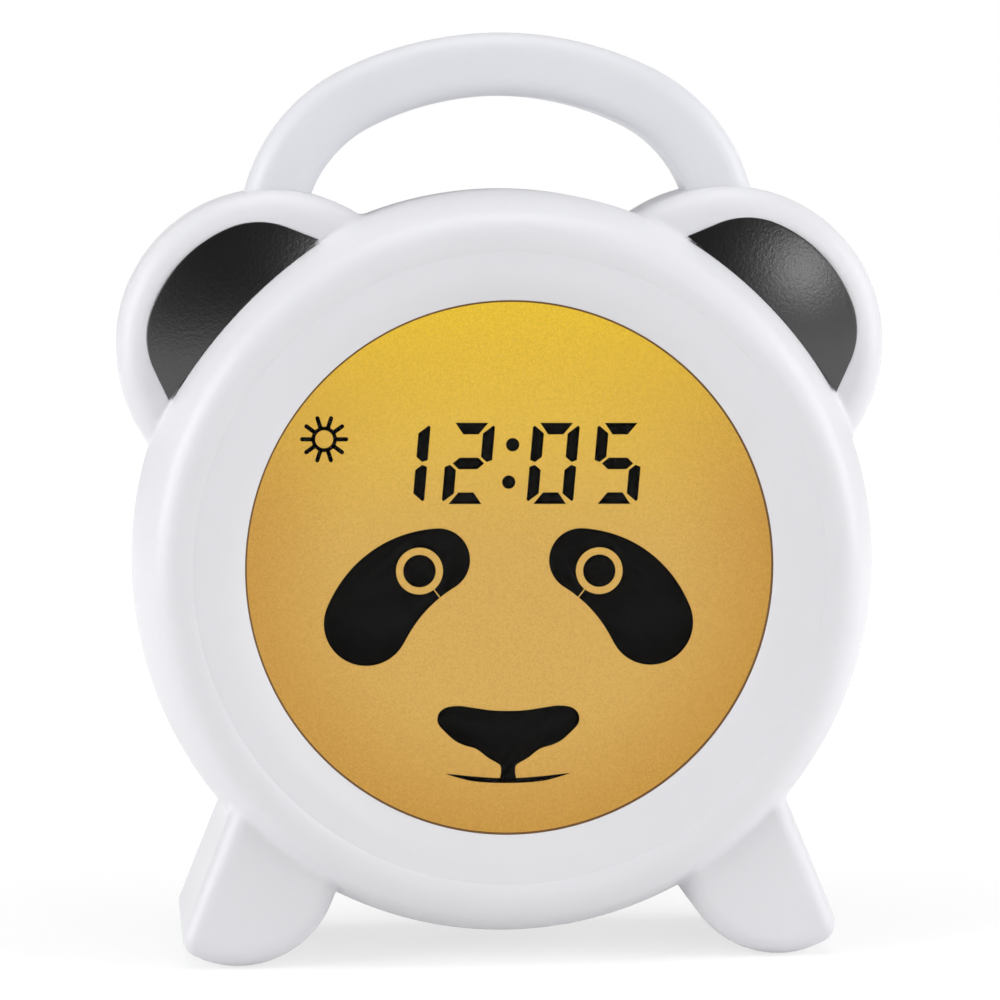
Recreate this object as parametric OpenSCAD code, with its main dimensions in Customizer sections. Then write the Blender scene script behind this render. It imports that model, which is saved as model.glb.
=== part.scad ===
// Kids alarm clock with night light: a round two-part housing with ears, feet and
// a carrying handle, a lit round display, rear buttons and a battery compartment.
// Millimetres. X to the right seen from the front, -Y to the front, Z up.
// Origin on the floor, under the middle of the housing, on the joint line.

/* [Housing] */
// Radius of the round housing
body_r = 77; // [75:0.5:80]
// Gap between the housing and the floor
ground_gap = 5; // [3:0.1:6]
// Depth from the joint line to the front crest, and to the flat back
half_depth = 28.5; // [28:0.5:32]
// Depth of the straight band in front of the joint line
band_front = 9.4; // [7:0.1:11]
// Depth of the straight band behind the joint line
band_rear = 2.5; // [1:0.1:5]
// Width of the rim, from the housing's side to the seam with the bezel ring
rim_w = 11.6; // [11:0.1:12]
// Small radius of the front crest
crest_round = 8; // [6:0.5:9]
// Width of the rounded edge round the flat back
back_w = 15; // [13:0.5:16]
// Small radius where the rim turns into the flat back
back_round = 10; // [8:0.5:12]
// Wall thickness of both housing halves
wall = 2.4; // [2:0.1:3]
// Height of the tongue that keys the rear half into the front half
tongue_h = 1.6; // [1:0.1:2.5]

/* [Ears] */
// Radius of an ear
ear_r = 32.6; // [31:0.1:34]
// How far the ear's centre lies inside the housing's edge
ear_sink = 12.2; // [10:0.1:13]
// Angle of the ear above the horizontal
ear_angle = 43.6; // [42:0.1:45]
// Depth of an ear in front of and behind the joint line
ear_half = 15; // [14:0.5:17]
// Rounding of the ear's rim
ear_round = 5.4; // [4:0.1:6]
// Width of the ear's rim outside the dark insert
insert_rim = 6.1; // [5.8:0.1:7]
// Radius of the middle of the insert's outer edge
insert_mid_r = 29.2; // [28:0.2:31]
// Half angle of the middle of the insert's outer edge
insert_mid_angle = 23; // [20:0.5:26]
// Radius of the insert's round corners
insert_corner_r = 15.8; // [14:0.2:18]
// Angle that each round corner turns through
insert_corner_angle = 45.5; // [43:0.5:48]
// Outward shift of the insert's dome from the ear's centre
insert_shift = 4.9; // [4:0.1:6]
// Depth of the insert's pocket
insert_seat = 2; // [1.5:0.1:2.5]
// Height of the insert's domed face
insert_crown = 3.2; // [2:0.1:4]
// Gap round the insert
insert_gap = 0.15; // [0.1:0.05:0.3]

/* [Feet] */
// Radius of a foot's round bottom
foot_r = 20.5; // [19:0.5:22]
// How far the centre of the round bottom lies inside the housing's side
foot_in = 21; // [20:0.5:22]
// How far the foot's outer edge stands off the centre of the round bottom
foot_out = 5.9; // [5:0.1:7]
// Radius of the outer bottom corner
foot_corner_r = 3.5; // [3:0.1:4.5]
// Lean of the foot's outer edge
foot_lean = 22; // [20:0.5:24]
// Depth of a foot in front of and behind the joint line
foot_half = 24; // [22:0.5:25]
// Rounding of the foot's front and rear edges
foot_round = 4; // [3:0.5:5]
// Wall thickness of a foot
foot_wall = 3.4; // [3:0.1:4.5]
// Width of the rubber pad under a foot
pad_w = 9; // [7:0.5:10]
// Length of the rubber pad from front to back
pad_l = 30; // [26:1:34]
// Thickness of the rubber pad
pad_t = 1.6; // [1.2:0.1:2]
// How far the pad stands out of the foot
pad_proud = 0.3; // [0.3:0.1:1]

/* [Handle] */
// How far the handle's ends stand outside the ears' centres
handle_out = 0.3; // [0:0.1:0.8]
// Height of the gap for the fingers under the handle
finger_gap = 19.2; // [17:0.1:25]
// Thickness of the handle seen from the front
handle_w = 13; // [11:0.5:14]
// Depth of the handle from front to back
handle_d = 19; // [16:0.5:20]
// Half angle of the crown
crown_angle = 26.2; // [25:0.1:27]
// Radius of the haunches of the arch, at mid thickness
haunch_r = 32.3; // [31.5:0.1:33]
// Height of the locking lug at each end of the handle
lug_h = 2; // [1.5:0.1:3]
// How far the lug stands out round the handle's end
lug_out = 1.5; // [1:0.1:2]
// Gap round the handle in its sockets
handle_gap = 0.1; // [0.05:0.05:0.2]

/* [Display] */
// Width that the bezel ring laps over the lens
lens_lap = 4; // [3:0.1:5]
// Width of the seat that the bezel ring drops on
seat_w = 4.2; // [4:0.1:5]
// Drop from the front crest to the lens
bezel_drop = 7.7; // [6.5:0.1:9]
// Thickness of the bezel ring at the seam
bezel_t = 2.8; // [2.4:0.1:3.4]
// Thickness of the clear lens
lens_t = 1.2; // [1:0.1:1.6]
// Thickness of the liquid crystal panel
panel_t = 2.3; // [2:0.1:2.6]
// Thickness of the diffuser sheet
diffuser_t = 0.4; // [0.3:0.1:0.6]
// Thickness of the light guide
guide_t = 4; // [3.5:0.1:4.5]
// Thickness of the reflector sheet
reflector_t = 0.3; // [0.2:0.1:0.5]
// Depth of the flats cut off the light guide's top and bottom
guide_cut = 8.5; // [8:0.1:9]
// Wall thickness of the display holder
holder_t = 1.8; // [1.5:0.1:2.2]
// Gap between the layers of the display
layer_gap = 0.1; // [0.05:0.05:0.15]

/* [Boards] */
// Thickness of every circuit board
board_t = 1.6; // [1.2:0.2:1.6]
// How far the main board's edge lies inside the edge of the display stack
board_inset = 2.5; // [1.5:0.5:3.5]
// Length of the posts that carry the main board
board_post = 4; // [3.5:0.1:4.5]
// Width of the button board
button_board_w = 104; // [102:1:106]
// Height of the button board
button_board_h = 15; // [14:0.5:16]

/* [Rear controls] */
// Height of the row of buttons above the housing's centre
panel_z = 15.6; // [15:0.1:17]
// Width of the recess round the row of buttons
panel_w = 94; // [92:1:96]
// Height of the recess round the row of buttons
panel_h = 17; // [16:0.5:18]
// Depth of the recess round the row of buttons
panel_drop = 1.6; // [1.4:0.1:2]
// Distance from one button to the next
button_pitch = 18; // [17:0.5:18.5]
// Radius of a button
button_r = 5; // [4.5:0.1:5.5]
// Radius of the flange that keeps a button in
button_flange_r = 6.2; // [6:0.1:6.5]
// Thickness of the flange
button_flange_t = 1.2; // [1:0.1:1.4]
// How far a button stands out of its recess
button_proud = 1.2; // [1:0.1:1.4]
// Travel of a button
button_travel = 0.8; // [0.6:0.1:1]
// Gap round a button
button_gap = 0.25; // [0.2:0.05:0.4]
// Travel of the alarm switch
switch_travel = 4; // [3:0.5:4]
// Width of the alarm switch's knob
knob_w = 4; // [3.5:0.5:5]
// Height of the alarm switch's knob
knob_h = 5; // [4:0.5:6]

/* [Speaker] */
// Distance of the speaker's middle from the housing's top
speaker_in = 34.5; // [34:0.1:35]
// Radius of the speaker
speaker_r = 16; // [15:0.5:16.5]
// Radius of the circle that the sound holes fill
grille_r = 12.5; // [11:0.5:13]
// Radius of one sound hole
grille_hole_r = 1; // [0.8:0.1:1.2]
// Distance between the rings of sound holes
grille_pitch = 4; // [3.5:0.1:4]

/* [Battery compartment] */
// Radius of a battery
cell_r = 7.1; // [6.9:0.1:7.2]
// Length of a battery over its pole
cell_l = 50; // [49:0.5:50.5]
// Space at each end of a battery for its contact
contact_room = 3; // [2.5:0.1:3.5]
// Gap between the batteries
cell_gap = 1.4; // [1:0.1:1.5]
// Height of the compartment's middle below the housing's centre
bay_z = -27.4; // [-28:0.1:-27]
// Thickness of the battery door
door_t = 1.9; // [1.7:0.1:2]
// Width that the door overlaps the compartment all round
door_lap = 1.5; // [1.2:0.1:1.8]
// Gap round the door
door_gap = 0.3; // [0.25:0.05:0.4]
// Radius of the door's hinge pins
hinge_pin_r = 0.7; // [0.6:0.05:0.75]
// Length of each hinge pin
hinge_pin_l = 1.6; // [1.2:0.1:2]
// Running clearance of the hinge pins
hinge_fit = 0.06; // [0.04:0.01:0.09]
// Radius of the screw tab on the door's top edge
tab_r = 5; // [4.8:0.1:5.2]

/* [Power inlet] */
// Gap between the battery compartment's wall and the inlet's board
inlet_side = 1.2; // [0.5:0.1:2]
// Height of the inlet below the housing's centre
inlet_z = -38; // [-39:0.5:-36]
// Width of the inlet
inlet_w = 9; // [8.8:0.1:9.4]
// Height of the inlet
inlet_h = 3.4; // [3:0.1:3.8]

/* [Screws] */
// How far the housing screws lie outside the seam
screw_set = 1.6; // [1.2:0.1:2]
// Radius of a housing screw's shank
screw_r = 1.5; // [1.3:0.1:1.6]
// Radius of a housing screw's head
screw_head_r = 2.8; // [2.6:0.1:3]
// Height of a housing screw's head
screw_head_h = 2; // [1.6:0.1:2.2]
// Reach of a housing screw into the front half
screw_reach = 9; // [8:0.5:11]
// Radius of the posts that the screws go into
post_r = 4; // [3.6:0.1:4.2]
// Radius of a small screw's shank
small_screw_r = 1.1; // [1:0.1:1.2]
// Radius of a small screw's head
small_head_r = 2.1; // [1.9:0.1:2.2]
// Gap round every screw's shank
screw_gap = 0.05; // [0.03:0.01:0.1]

/* [Hidden] */
$fn = 96;

eps = 0.01;
white = [0.88, 0.88, 0.9];
board_green = [0.1, 0.4, 0.2];
steel = [0.75, 0.75, 0.77];

body_z = ground_gap + body_r;
floor_z = -body_z;
seam_r = body_r - rim_w;
back_r = body_r - back_w;
ear_reach = body_r - ear_sink;
ear_x = ear_reach * cos(ear_angle);
ear_z = ear_reach * sin(ear_angle);
foot_x = body_r - foot_in;
foot_rise = body_r / 2;

// ear insert: centres of its middle arc, of its corner arc and of its dome, along and across the ear's axis
insert_mid = ear_reach + ear_r - insert_rim - insert_mid_r;
insert_corner = [insert_mid + (insert_mid_r - insert_corner_r) * cos(insert_mid_angle),
                 (insert_mid_r - insert_corner_r) * sin(insert_mid_angle)];
insert_dome = [ear_reach + insert_shift, 0];
insert_r = norm(insert_corner - insert_dome) + insert_corner_r;
speaker_z = body_r - speaker_in;

// handle arch: its ends stand over the ears, its crown clears the housing
handle_x = ear_x + handle_out;
haunch_x = handle_x - haunch_r;
crown_r = haunch_r + haunch_x / sin(crown_angle);
crown_z = body_r + finger_gap + handle_w / 2 - crown_r;
haunch_z = crown_z + (crown_r - haunch_r) * cos(crown_angle);
section_flat = (handle_d - handle_w) / 2;

// display stack: radii counted inwards from the seam
flange_in_r = seam_r - seat_w;
holder_out_r = flange_in_r - 0.6;
holder_in_r = holder_out_r - holder_t;
stack_r = holder_in_r - 0.3;
display_r = stack_r - lens_lap;
bezel_in_r = flange_in_r - 0.3;
bezel_out_r = seam_r - 0.15;
guide_flat = stack_r - guide_cut;
main_board_r = stack_r - board_inset;

// display stack: depths counted forwards from the joint line
lens_front = half_depth - bezel_drop;
lens_back = lens_front - lens_t;
panel_front = lens_back - layer_gap;
panel_back = panel_front - panel_t;
diffuser_front = panel_back - layer_gap;
diffuser_back = diffuser_front - diffuser_t;
guide_front = diffuser_back - layer_gap;
guide_back = guide_front - guide_t;
reflector_front = guide_back - layer_gap;
reflector_back = reflector_front - reflector_t;
holder_floor = reflector_back - layer_gap;
holder_back = holder_floor - holder_t;
main_front = holder_back - board_post;
main_back = main_front - board_t;
flange_front = half_depth - bezel_t;
flange_t = 2.2;
roll_angle = 84;

// lamps at the flat top of the light guide
lamp_h = 1.4;
lamp_count = 6;
lamp_pitch = 6.6;
lamp_board_w = lamp_count * lamp_pitch + 2.4;
lamp_board_t = 1;
lamp_room = 0.2;
ribbon_w = 30;
ribbon_t = 0.3;
ribbon_z = -(guide_flat + 2.2);

// rear face, counted backwards from the joint line
back_in = half_depth - wall;
panel_face = half_depth - panel_drop;
panel_wall = 2;
panel_in = panel_face - panel_wall;
flange_play = 0.3;
flange_top = panel_in - flange_play;
flange_low = flange_top - button_flange_t;
tact_top = flange_low - button_travel - 0.1;
tact_h = 3.5;
tact_w = 6;
button_board_back = tact_top - tact_h - 1;
button_x = [for (i = [0:3]) (i - 1) * button_pitch];
knob_x = -2 * button_pitch;
knob_base_w = switch_travel + knob_w + 2;
knob_base_h = knob_h + 2.4;

// battery compartment
bay_w = cell_l + 2 * contact_room;
bay_play = 2;
bay_h = 6 * cell_r + 2 * cell_gap + bay_play;
bay_floor = half_depth - door_t - 2 * cell_r - 2.6;
bay_wall = 1.8;
cell_back = bay_floor + cell_r + 0.2;
cell_pitch = 2 * cell_r + cell_gap;
door_w = bay_w + 2 * door_lap;
door_h = bay_h + 2 * door_lap;
door_low = bay_z - door_h / 2;
door_high = bay_z + door_h / 2;
door_seat = half_depth - door_t - 0.1;
surround_w = 3;
surround_back = door_seat - 1.6;
hinge_r = door_t / 2;
tab_z = door_high + 0.6;
door_boss_h = 7;
door_grip_w = 20;
contact_w = 9;
contact_h = 10;
contact_t = 0.4;

// screw places
screw_circle = seam_r + screw_set;
housing_screw_angles = [8, 65, 115, 172, 240, 300];
holder_screw_angles = [33, 90, 147, 213, 270, 327];
well_floor = 8;
holder_tab_r = 3.6;
main_board_holes = [for (a = [42, 138, 222, 318]) (main_board_r - 5) * [cos(a), sin(a)]];
rear_post_r = 2.8;
board_screw_l = 5;
holder_screw_reach = 6;
button_board_holes = [for (s = [-1, 1]) [s * (button_board_w / 2 - 3.4), panel_z]];
inlet_board_w = 16;
inlet_board_l = 10.5;
socket_l = 7.4;
socket_back = half_depth - 1;
inlet_board_z = inlet_z - inlet_h / 2 - board_t;
inlet_x = bay_w / 2 + bay_wall + inlet_side + inlet_board_w / 2;

// parts on the main board
chip_w = 10;
chip_h = 1.4;
chip_y = 13;
pin_pitch = 1;
pin_w = 0.4;
pin_l = 1.3;
pin_h = 0.5;
crystal_r = 1.5;
crystal_l = 8;
cap_r = 3.1;
cap_h = 4.6;
cap_x = 22;
plug_w = 8;
plug_d = 5;
plug_h = 4.5;
plug_wall = 1;
plug_pitch = 14;
plug_y = 26;

// speaker
magnet_r = 8.5;
magnet_h = 5;
pole_r = 7;
basket_h = 6;
basket_t = 1.2;
cone_h = 3.6;
dust_cap_r = 4;

// a frame that looks at the clock from the front: x right, y up, z to the front
module face_frame() {
  translate([0, 0, body_z]) rotate([90, 0, 0]) children();
}

// the same shape on the rear side of the joint line
module rearward() {
  mirror([0, 0, 1]) children();
}

module at_angle(r, angle) {
  translate([r * cos(angle), r * sin(angle), 0]) children();
}

// points from i = first to n along an arc
function arc(cx, cy, r, a0, a1, n, first = 0) =
  [for (i = [first:n]) [cx + r * cos(a0 + (a1 - a0) * i / n), cy + r * sin(a0 + (a1 - a0) * i / n)]];

// large radius of a two-arc rim that is a wide, b deep and ends in a small radius s
function rim_large(a, b, s) = (a * a + (b - s) * (b - s) - s * s) / (2 * (a - s));

// rim profile from the joint line up to the crest: a band, a large arc and a small arc
function rim(r_top, band, small, inset) =
  let(a = body_r - r_top, b = half_depth - band, large = rim_large(a, b, small), cx = body_r - large,
      turn = atan2(b - small, r_top - cx))
  concat([[body_r - inset, 0]], arc(cx, band, large - inset, 0, turn, 9),
         arc(r_top, half_depth - small, small - inset, turn, 90, 7, 1));

module housing_solid(r_top, band, small) {
  rotate_extrude($fn = 180) polygon(concat([[0, 0]], rim(r_top, band, small, 0), [[0, half_depth]]));
}

module ear_profile(inset, top) {
  polygon(concat([[0, 0]], [[ear_r - inset, 0]],
                 arc(ear_r - ear_round, ear_half - ear_round, ear_round - inset, 0, 90, 8),
                 [[ear_r - ear_round, top], [0, top]]));
}

module ears() {
  for (s = [-1, 1])
    translate([s * ear_x, ear_z, 0]) rotate_extrude($fn = 120) ear_profile(0, ear_half);
}

// hollow of the ears, with a block left round each handle socket
module ear_hollows(top) {
  block_w = handle_w + 2 * lug_out + 2 * wall;
  for (s = [-1, 1]) difference() {
    translate([s * ear_x, ear_z, -eps]) rotate_extrude()
      polygon([[0, 0], [ear_r - wall, 0], [ear_r - wall, ear_half - ear_round], [ear_r - ear_round, top], [0, top]]);
    translate([s * handle_x - block_w / 2, haunch_z - lug_h - wall, -1]) cube([block_w, ear_r, ear_half + 2]);
  }
}

// one slice of a foot, drawn in by the inset: a round bottom and a leaning outer edge with a corner
module foot_outline(inset) {
  corner_r = max(foot_corner_r - inset, 0.5);
  round_r = foot_r - inset;
  out = foot_out - inset - corner_r;
  outward = [cos(foot_lean), sin(foot_lean)];
  down = [sin(foot_lean), -cos(foot_lean)];
  middle = [foot_x, floor_z + pad_proud + foot_r];
  corner = middle + out * outward + sqrt(pow(round_r - corner_r, 2) - out * out) * down;
  touch = atan2(corner[1] - middle[1], corner[0] - middle[0]);
  polygon(concat([corner + corner_r * outward - foot_rise * down],
                 arc(corner[0], corner[1], corner_r, foot_lean, touch, 8),
                 arc(middle[0], middle[1], round_r, touch, foot_lean - 180, 18, 1),
                 [middle - round_r * outward - foot_rise * down]));
}

// front half of one foot, with a soft front edge
module foot_half_solid() {
  hull() {
    linear_extrude(foot_half - foot_round) foot_outline(0);
    for (i = [1:5]) let(a = 18 * i)
      translate([0, 0, foot_half - foot_round * (1 - sin(a)) - eps])
        linear_extrude(eps) foot_outline(foot_round * (1 - cos(a)));
  }
}

module feet() {
  foot_half_solid();
  mirror([1, 0, 0]) foot_half_solid();
}

module foot_hollows() {
  for (s = [0, 1]) mirror([s, 0, 0])
    translate([0, 0, -eps]) linear_extrude(foot_half - foot_wall) foot_outline(foot_wall);
}

module pad_outline(grow) {
  run = pad_l / 2 - pad_w / 2;
  translate([foot_x - pad_w / 2 - grow, -run]) square([pad_w + 2 * grow, 2 * run]);
  for (s = [-1, 1]) translate([foot_x, s * run]) circle(r = pad_w / 2 + grow, $fn = 48);
}

// rubber pad on the right, standing on the floor in the face frame
module pad_solid(grow, height) {
  translate([0, floor_z, 0]) rotate([-90, 0, 0]) linear_extrude(height) pad_outline(grow);
}

// handle section: straight sides with round top and bottom edges
module handle_section(grow) {
  for (s = [-1, 1]) translate([0, s * section_flat]) circle(r = handle_w / 2 + grow, $fn = 64);
  translate([-handle_w / 2 - grow, -section_flat]) square([handle_w + 2 * grow, 2 * section_flat]);
}

module handle_lug(grow) {
  translate([handle_x, haunch_z - lug_h - grow, 0]) rotate([-90, 0, 0])
    linear_extrude(lug_h + 2 * grow) handle_section(lug_out + grow);
}

// sockets for the ends of the handle: a haunch and its locking lug on each side
module handle_sockets() {
  for (s = [0, 1]) mirror([s, 0, 0]) {
    translate([haunch_x, haunch_z, 0]) rotate_extrude(angle = 90 - crown_angle, $fn = 120)
      translate([haunch_r, 0]) handle_section(handle_gap);
    handle_lug(handle_gap);
  }
}

// solid through rings of points that all have the same number of points
module swept(rings) {
  sides = len(rings[0]);
  last = len(rings) - 1;
  walls = [for (i = [0:last - 1]) for (k = [0:sides - 1]) let(n = (k + 1) % sides)
    [i * sides + k, i * sides + n, (i + 1) * sides + n, (i + 1) * sides + k]];
  ends = [[for (k = [0:sides - 1]) sides - 1 - k], [for (k = [0:sides - 1]) last * sides + k]];
  polyhedron([for (ring = rings) each ring], concat(walls, ends), convexity = 6);
}

// mid points of the arch with the angle of its section, from the right end to the left
function arch_stations() = concat(
  [[handle_x, haunch_z - lug_h / 2, 0]],
  [for (i = [0:11]) let(a = (90 - crown_angle) * i / 12)
    [haunch_x + haunch_r * cos(a), haunch_z + haunch_r * sin(a), a]],
  [for (i = [0:14]) let(a = 90 - crown_angle + 2 * crown_angle * i / 14)
    [crown_r * cos(a), crown_z + crown_r * sin(a), a]],
  [for (i = [1:12]) let(a = 90 + crown_angle + (90 - crown_angle) * i / 12)
    [haunch_r * cos(a) - haunch_x, haunch_z + haunch_r * sin(a), a]],
  [[-handle_x, haunch_z - lug_h / 2, 180]]);

function section_points() =
  [for (s = [1, -1]) for (i = [0:16]) let(a = 180 * i / 16 + (s > 0 ? 0 : 180))
    [handle_w / 2 * cos(a), s * section_flat + handle_w / 2 * sin(a)]];

module handle_arch() {
  swept([for (p = arch_stations())
    [for (q = section_points()) [p[0] + q[0] * cos(p[2]), p[1] + q[0] * sin(p[2]), q[1]]]]);
}

// outline of the right ear's insert: a middle arc, two corner arcs and straight runs to the housing's edge
module insert_outline(grow) {
  turn = insert_mid_angle + insert_corner_angle;
  bow = concat(arc(insert_mid, 0, insert_mid_r + grow, 0, insert_mid_angle, 8),
               arc(insert_corner[0], insert_corner[1], insert_corner_r + grow, insert_mid_angle, turn, 12, 1));
  half = concat(bow, [bow[len(bow) - 1] + insert_corner_r * [-sin(turn), cos(turn)]]);
  last = len(half) - 1;
  rotate(ear_angle) difference() {
    polygon(concat(half, [for (i = [0:last - 1]) [half[last - i][0], -half[last - i][1]]]));
    circle(r = body_r + insert_gap - grow, $fn = 180);
  }
}

module half_cavity(r_top, band, small, top_r) {
  rotate_extrude($fn = 180)
    polygon(concat([[0, -1], [body_r - wall, -1]], rim(r_top, band, small, wall),
                   [[top_r, half_depth - wall], [top_r, half_depth + 1], [0, half_depth + 1]]));
}

module screw_post(r, low, high, bore_r, depth) {
  translate([0, 0, low]) difference() {
    cylinder(r = r, h = high - low, $fn = 48);
    translate([0, 0, -eps]) cylinder(r = bore_r, h = depth + eps, $fn = 32);
  }
}

module front_shell() {
  color(white) face_frame() {
    difference() {
      union() {
        housing_solid(seam_r, band_front, crest_round);
        ears();
        feet();
      }
      half_cavity(seam_r, band_front, crest_round, seam_r);
      ear_hollows(ear_half - insert_seat - wall);
      foot_hollows();
      for (s = [0, 1]) mirror([s, 0, 0]) {
        translate([0, 0, ear_half - insert_seat]) linear_extrude(insert_seat + 1) insert_outline(insert_gap);
        pad_solid(0.1, pad_t + 0.1);
      }
      handle_sockets();
    }
    // seat that the bezel ring drops on
    rotate_extrude($fn = 180) translate([flange_in_r, flange_front - flange_t])
      square([seam_r + wall - flange_in_r, flange_t]);
    for (a = housing_screw_angles) at_angle(screw_circle, a)
      screw_post(post_r, 0.1, half_depth - 4.4, screw_r + screw_gap, screw_reach + 2);
    for (a = holder_screw_angles) at_angle(screw_circle, a)
      screw_post(holder_tab_r, holder_floor + layer_gap, half_depth - 4.4, small_screw_r + screw_gap, holder_screw_reach + 1);
  }
}

module control_recess() {
  r = panel_h / 2;
  run = panel_w / 2 - r;
  translate([-run, panel_z - r, panel_face]) cube([2 * run, panel_h, panel_drop + 1]);
  for (s = [-1, 1]) translate([s * run, panel_z, panel_face]) cylinder(r = r, h = panel_drop + 1, $fn = 64);
}

module sound_holes() {
  rings = floor(grille_r / grille_pitch);
  for (k = [0:rings]) for (i = [0:max(1, 6 * k) - 1])
    translate([0, speaker_z, back_in - 2]) at_angle(k * grille_pitch, i * 360 / max(1, 6 * k))
      cylinder(r = grille_hole_r, h = wall + 4, $fn = 16);
}

module door_opening() {
  // seat of the door and its screw tab
  translate([-door_w / 2 - door_gap, door_low - door_gap, door_seat])
    cube([door_w + 2 * door_gap, door_h + 2 * door_gap, door_t + 2]);
  translate([0, tab_z, door_seat]) cylinder(r = tab_r + door_gap, h = door_t + 2, $fn = 48);
  translate([-bay_w / 2, bay_z - bay_h / 2, bay_floor]) cube([bay_w, bay_h, half_depth]);
  // sockets of the hinge pins
  translate([-door_w / 2 - hinge_pin_l - 0.2, door_low + hinge_r, half_depth - hinge_r]) rotate([0, 90, 0])
    cylinder(r = hinge_pin_r + hinge_fit, h = door_w + 2 * hinge_pin_l + 0.4, $fn = 32);
}

module rear_shell() {
  color(white) face_frame() rearward() {
    difference() {
      union() {
        difference() {
          union() {
            housing_solid(back_r, band_rear, back_round);
            ears();
            feet();
          }
          rotate_extrude($fn = 180)
            polygon(concat([[0, -1], [body_r - wall, -1]], rim(back_r, band_rear, back_round, wall), [[0, back_in]]));
          ear_hollows(ear_half - wall);
          foot_hollows();
          handle_sockets();
          for (s = [0, 1]) mirror([s, 0, 0]) pad_solid(0.1, pad_t + 0.1);
        }
        // thicker wall behind the control recess and round the door
        translate([-panel_w / 2, panel_z - panel_h / 2 - 1, panel_in]) cube([panel_w, panel_h + 2, panel_face - panel_in + eps]);
        translate([-bay_w / 2 - bay_wall - surround_w, bay_z - bay_h / 2 - surround_w, surround_back])
          cube([bay_w + 2 * (bay_wall + surround_w), bay_h + 2 * surround_w, back_in - surround_back + 0.1]);
        translate([-bay_w / 2 - bay_wall, bay_z - bay_h / 2 - bay_wall, bay_floor - bay_wall])
          cube([bay_w + 2 * bay_wall, bay_h + 2 * bay_wall, back_in - bay_floor + bay_wall + eps]);
        translate([0, tab_z, door_seat - door_boss_h]) cylinder(r = tab_r, h = door_boss_h, $fn = 48);
        for (a = housing_screw_angles) at_angle(screw_circle, a)
          translate([0, 0, 0.1]) cylinder(r = post_r + 0.4, h = half_depth - 4.4, $fn = 48);
        translate([0, speaker_z, back_in - 4]) difference() {
          cylinder(r = speaker_r + 1.9, h = 4 + eps);
          translate([0, 0, -1]) cylinder(r = speaker_r + 0.3, h = 5);
        }
        for (p = button_board_holes) translate([p[0], p[1], button_board_back + board_t])
          cylinder(r = rear_post_r, h = back_in - button_board_back - board_t + eps, $fn = 32);
        inlet_bracket();
      }
      control_recess();
      for (x = button_x) translate([x, panel_z, panel_in - 1]) cylinder(r = button_r + button_gap, h = 6, $fn = 48);
      translate([knob_x - (knob_w + switch_travel) / 2 - button_gap, panel_z - knob_h / 2 - button_gap, panel_in - 1])
        cube([knob_w + switch_travel + 2 * button_gap, knob_h + 2 * button_gap, 6]);
      sound_holes();
      door_opening();
      translate([0, tab_z, door_seat - door_boss_h + 1.4]) cylinder(r = screw_r + 0.55, h = door_boss_h, $fn = 32);
      for (a = housing_screw_angles) at_angle(screw_circle, a) {
        translate([0, 0, well_floor]) cylinder(r = screw_head_r + 0.4, h = half_depth, $fn = 40);
        cylinder(r = screw_r + 0.15, h = well_floor + 1, $fn = 32);
      }
      for (p = button_board_holes) translate([p[0], p[1], button_board_back])
        cylinder(r = small_screw_r + screw_gap, h = board_t + board_screw_l + 0.4, $fn = 24);
      translate([inlet_x - inlet_w / 2 - 0.2, inlet_z - inlet_h / 2 - 0.2, back_in - 3])
        cube([inlet_w + 0.4, inlet_h + 0.4, wall + 4]);
    }
    // tongue that keys into the front half
    rotate_extrude($fn = 180)
      polygon([[body_r - wall - 1.4, -tongue_h], [body_r - wall - 0.1, -tongue_h], [body_r - wall - 0.1, 0],
               [body_r - wall + 0.3, 0], [body_r - wall + 0.3, 2.2], [body_r - wall - 1.4, 2.2]]);
  }
}

// two posts and a shelf that hold the inlet board against the back
module inlet_bracket() {
  post = 2.4;
  for (s = [-1, 1]) translate([inlet_x + s * (inlet_board_w / 2 - post) - post / 2, inlet_board_z - post, back_in - 9])
    cube([post, post, 9 + eps]);
}

module bezel_ring() {
  roll_w = bezel_out_r - display_r - 0.5;
  roll_d = bezel_drop - 0.7;
  groove = 0.55;
  color(white) face_frame() rotate_extrude($fn = 180) polygon(concat(
    [[display_r, lens_front + layer_gap], [bezel_in_r, lens_front + layer_gap], [bezel_in_r, flange_front],
     [bezel_out_r, flange_front], [bezel_out_r, half_depth - 2 * groove]],
    arc(bezel_out_r - 2 * groove, half_depth - 2 * groove, 2 * groove, 0, 90, 4, 1),
    [for (i = [1:14]) let(t = roll_angle * i / 14)
      [bezel_out_r - 2 * groove - (roll_w - 2 * groove + 0.5) * sin(t) / sin(roll_angle),
       half_depth - roll_d * (1 - cos(t)) / (1 - cos(roll_angle))]]));
}

module ear_insert() {
  sphere_r = (insert_r * insert_r + insert_crown * insert_crown) / (2 * insert_crown);
  seat = ear_half - insert_seat + 0.05;
  edge = ear_half + 0.2;
  color([0.1, 0.1, 0.1]) intersection() {
    translate([0, 0, seat]) linear_extrude(insert_crown + insert_seat + 2) insert_outline(0);
    at_angle(insert_dome[0], ear_angle)
      translate([0, 0, edge + insert_crown - sphere_r]) sphere(r = sphere_r, $fn = 200);
  }
}

module ear_insert_right() {
  face_frame() ear_insert();
}

module ear_insert_left() {
  face_frame() mirror([1, 0, 0]) ear_insert();
}

module carry_handle() {
  color(white) face_frame() {
    handle_arch();
    for (s = [0, 1]) mirror([s, 0, 0]) handle_lug(0);
  }
}

module foot_pad_right() {
  color([0.3, 0.3, 0.32]) face_frame() pad_solid(0, pad_t);
}

module foot_pad_left() {
  color([0.3, 0.3, 0.32]) face_frame() mirror([1, 0, 0]) pad_solid(0, pad_t);
}

module disc(r, low, high) {
  translate([0, 0, low]) cylinder(r = r, h = high - low, $fn = 180);
}

module display_lens() {
  color([0.9, 0.9, 0.9, 0.3]) face_frame() disc(stack_r, lens_back, lens_front);
}

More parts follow.
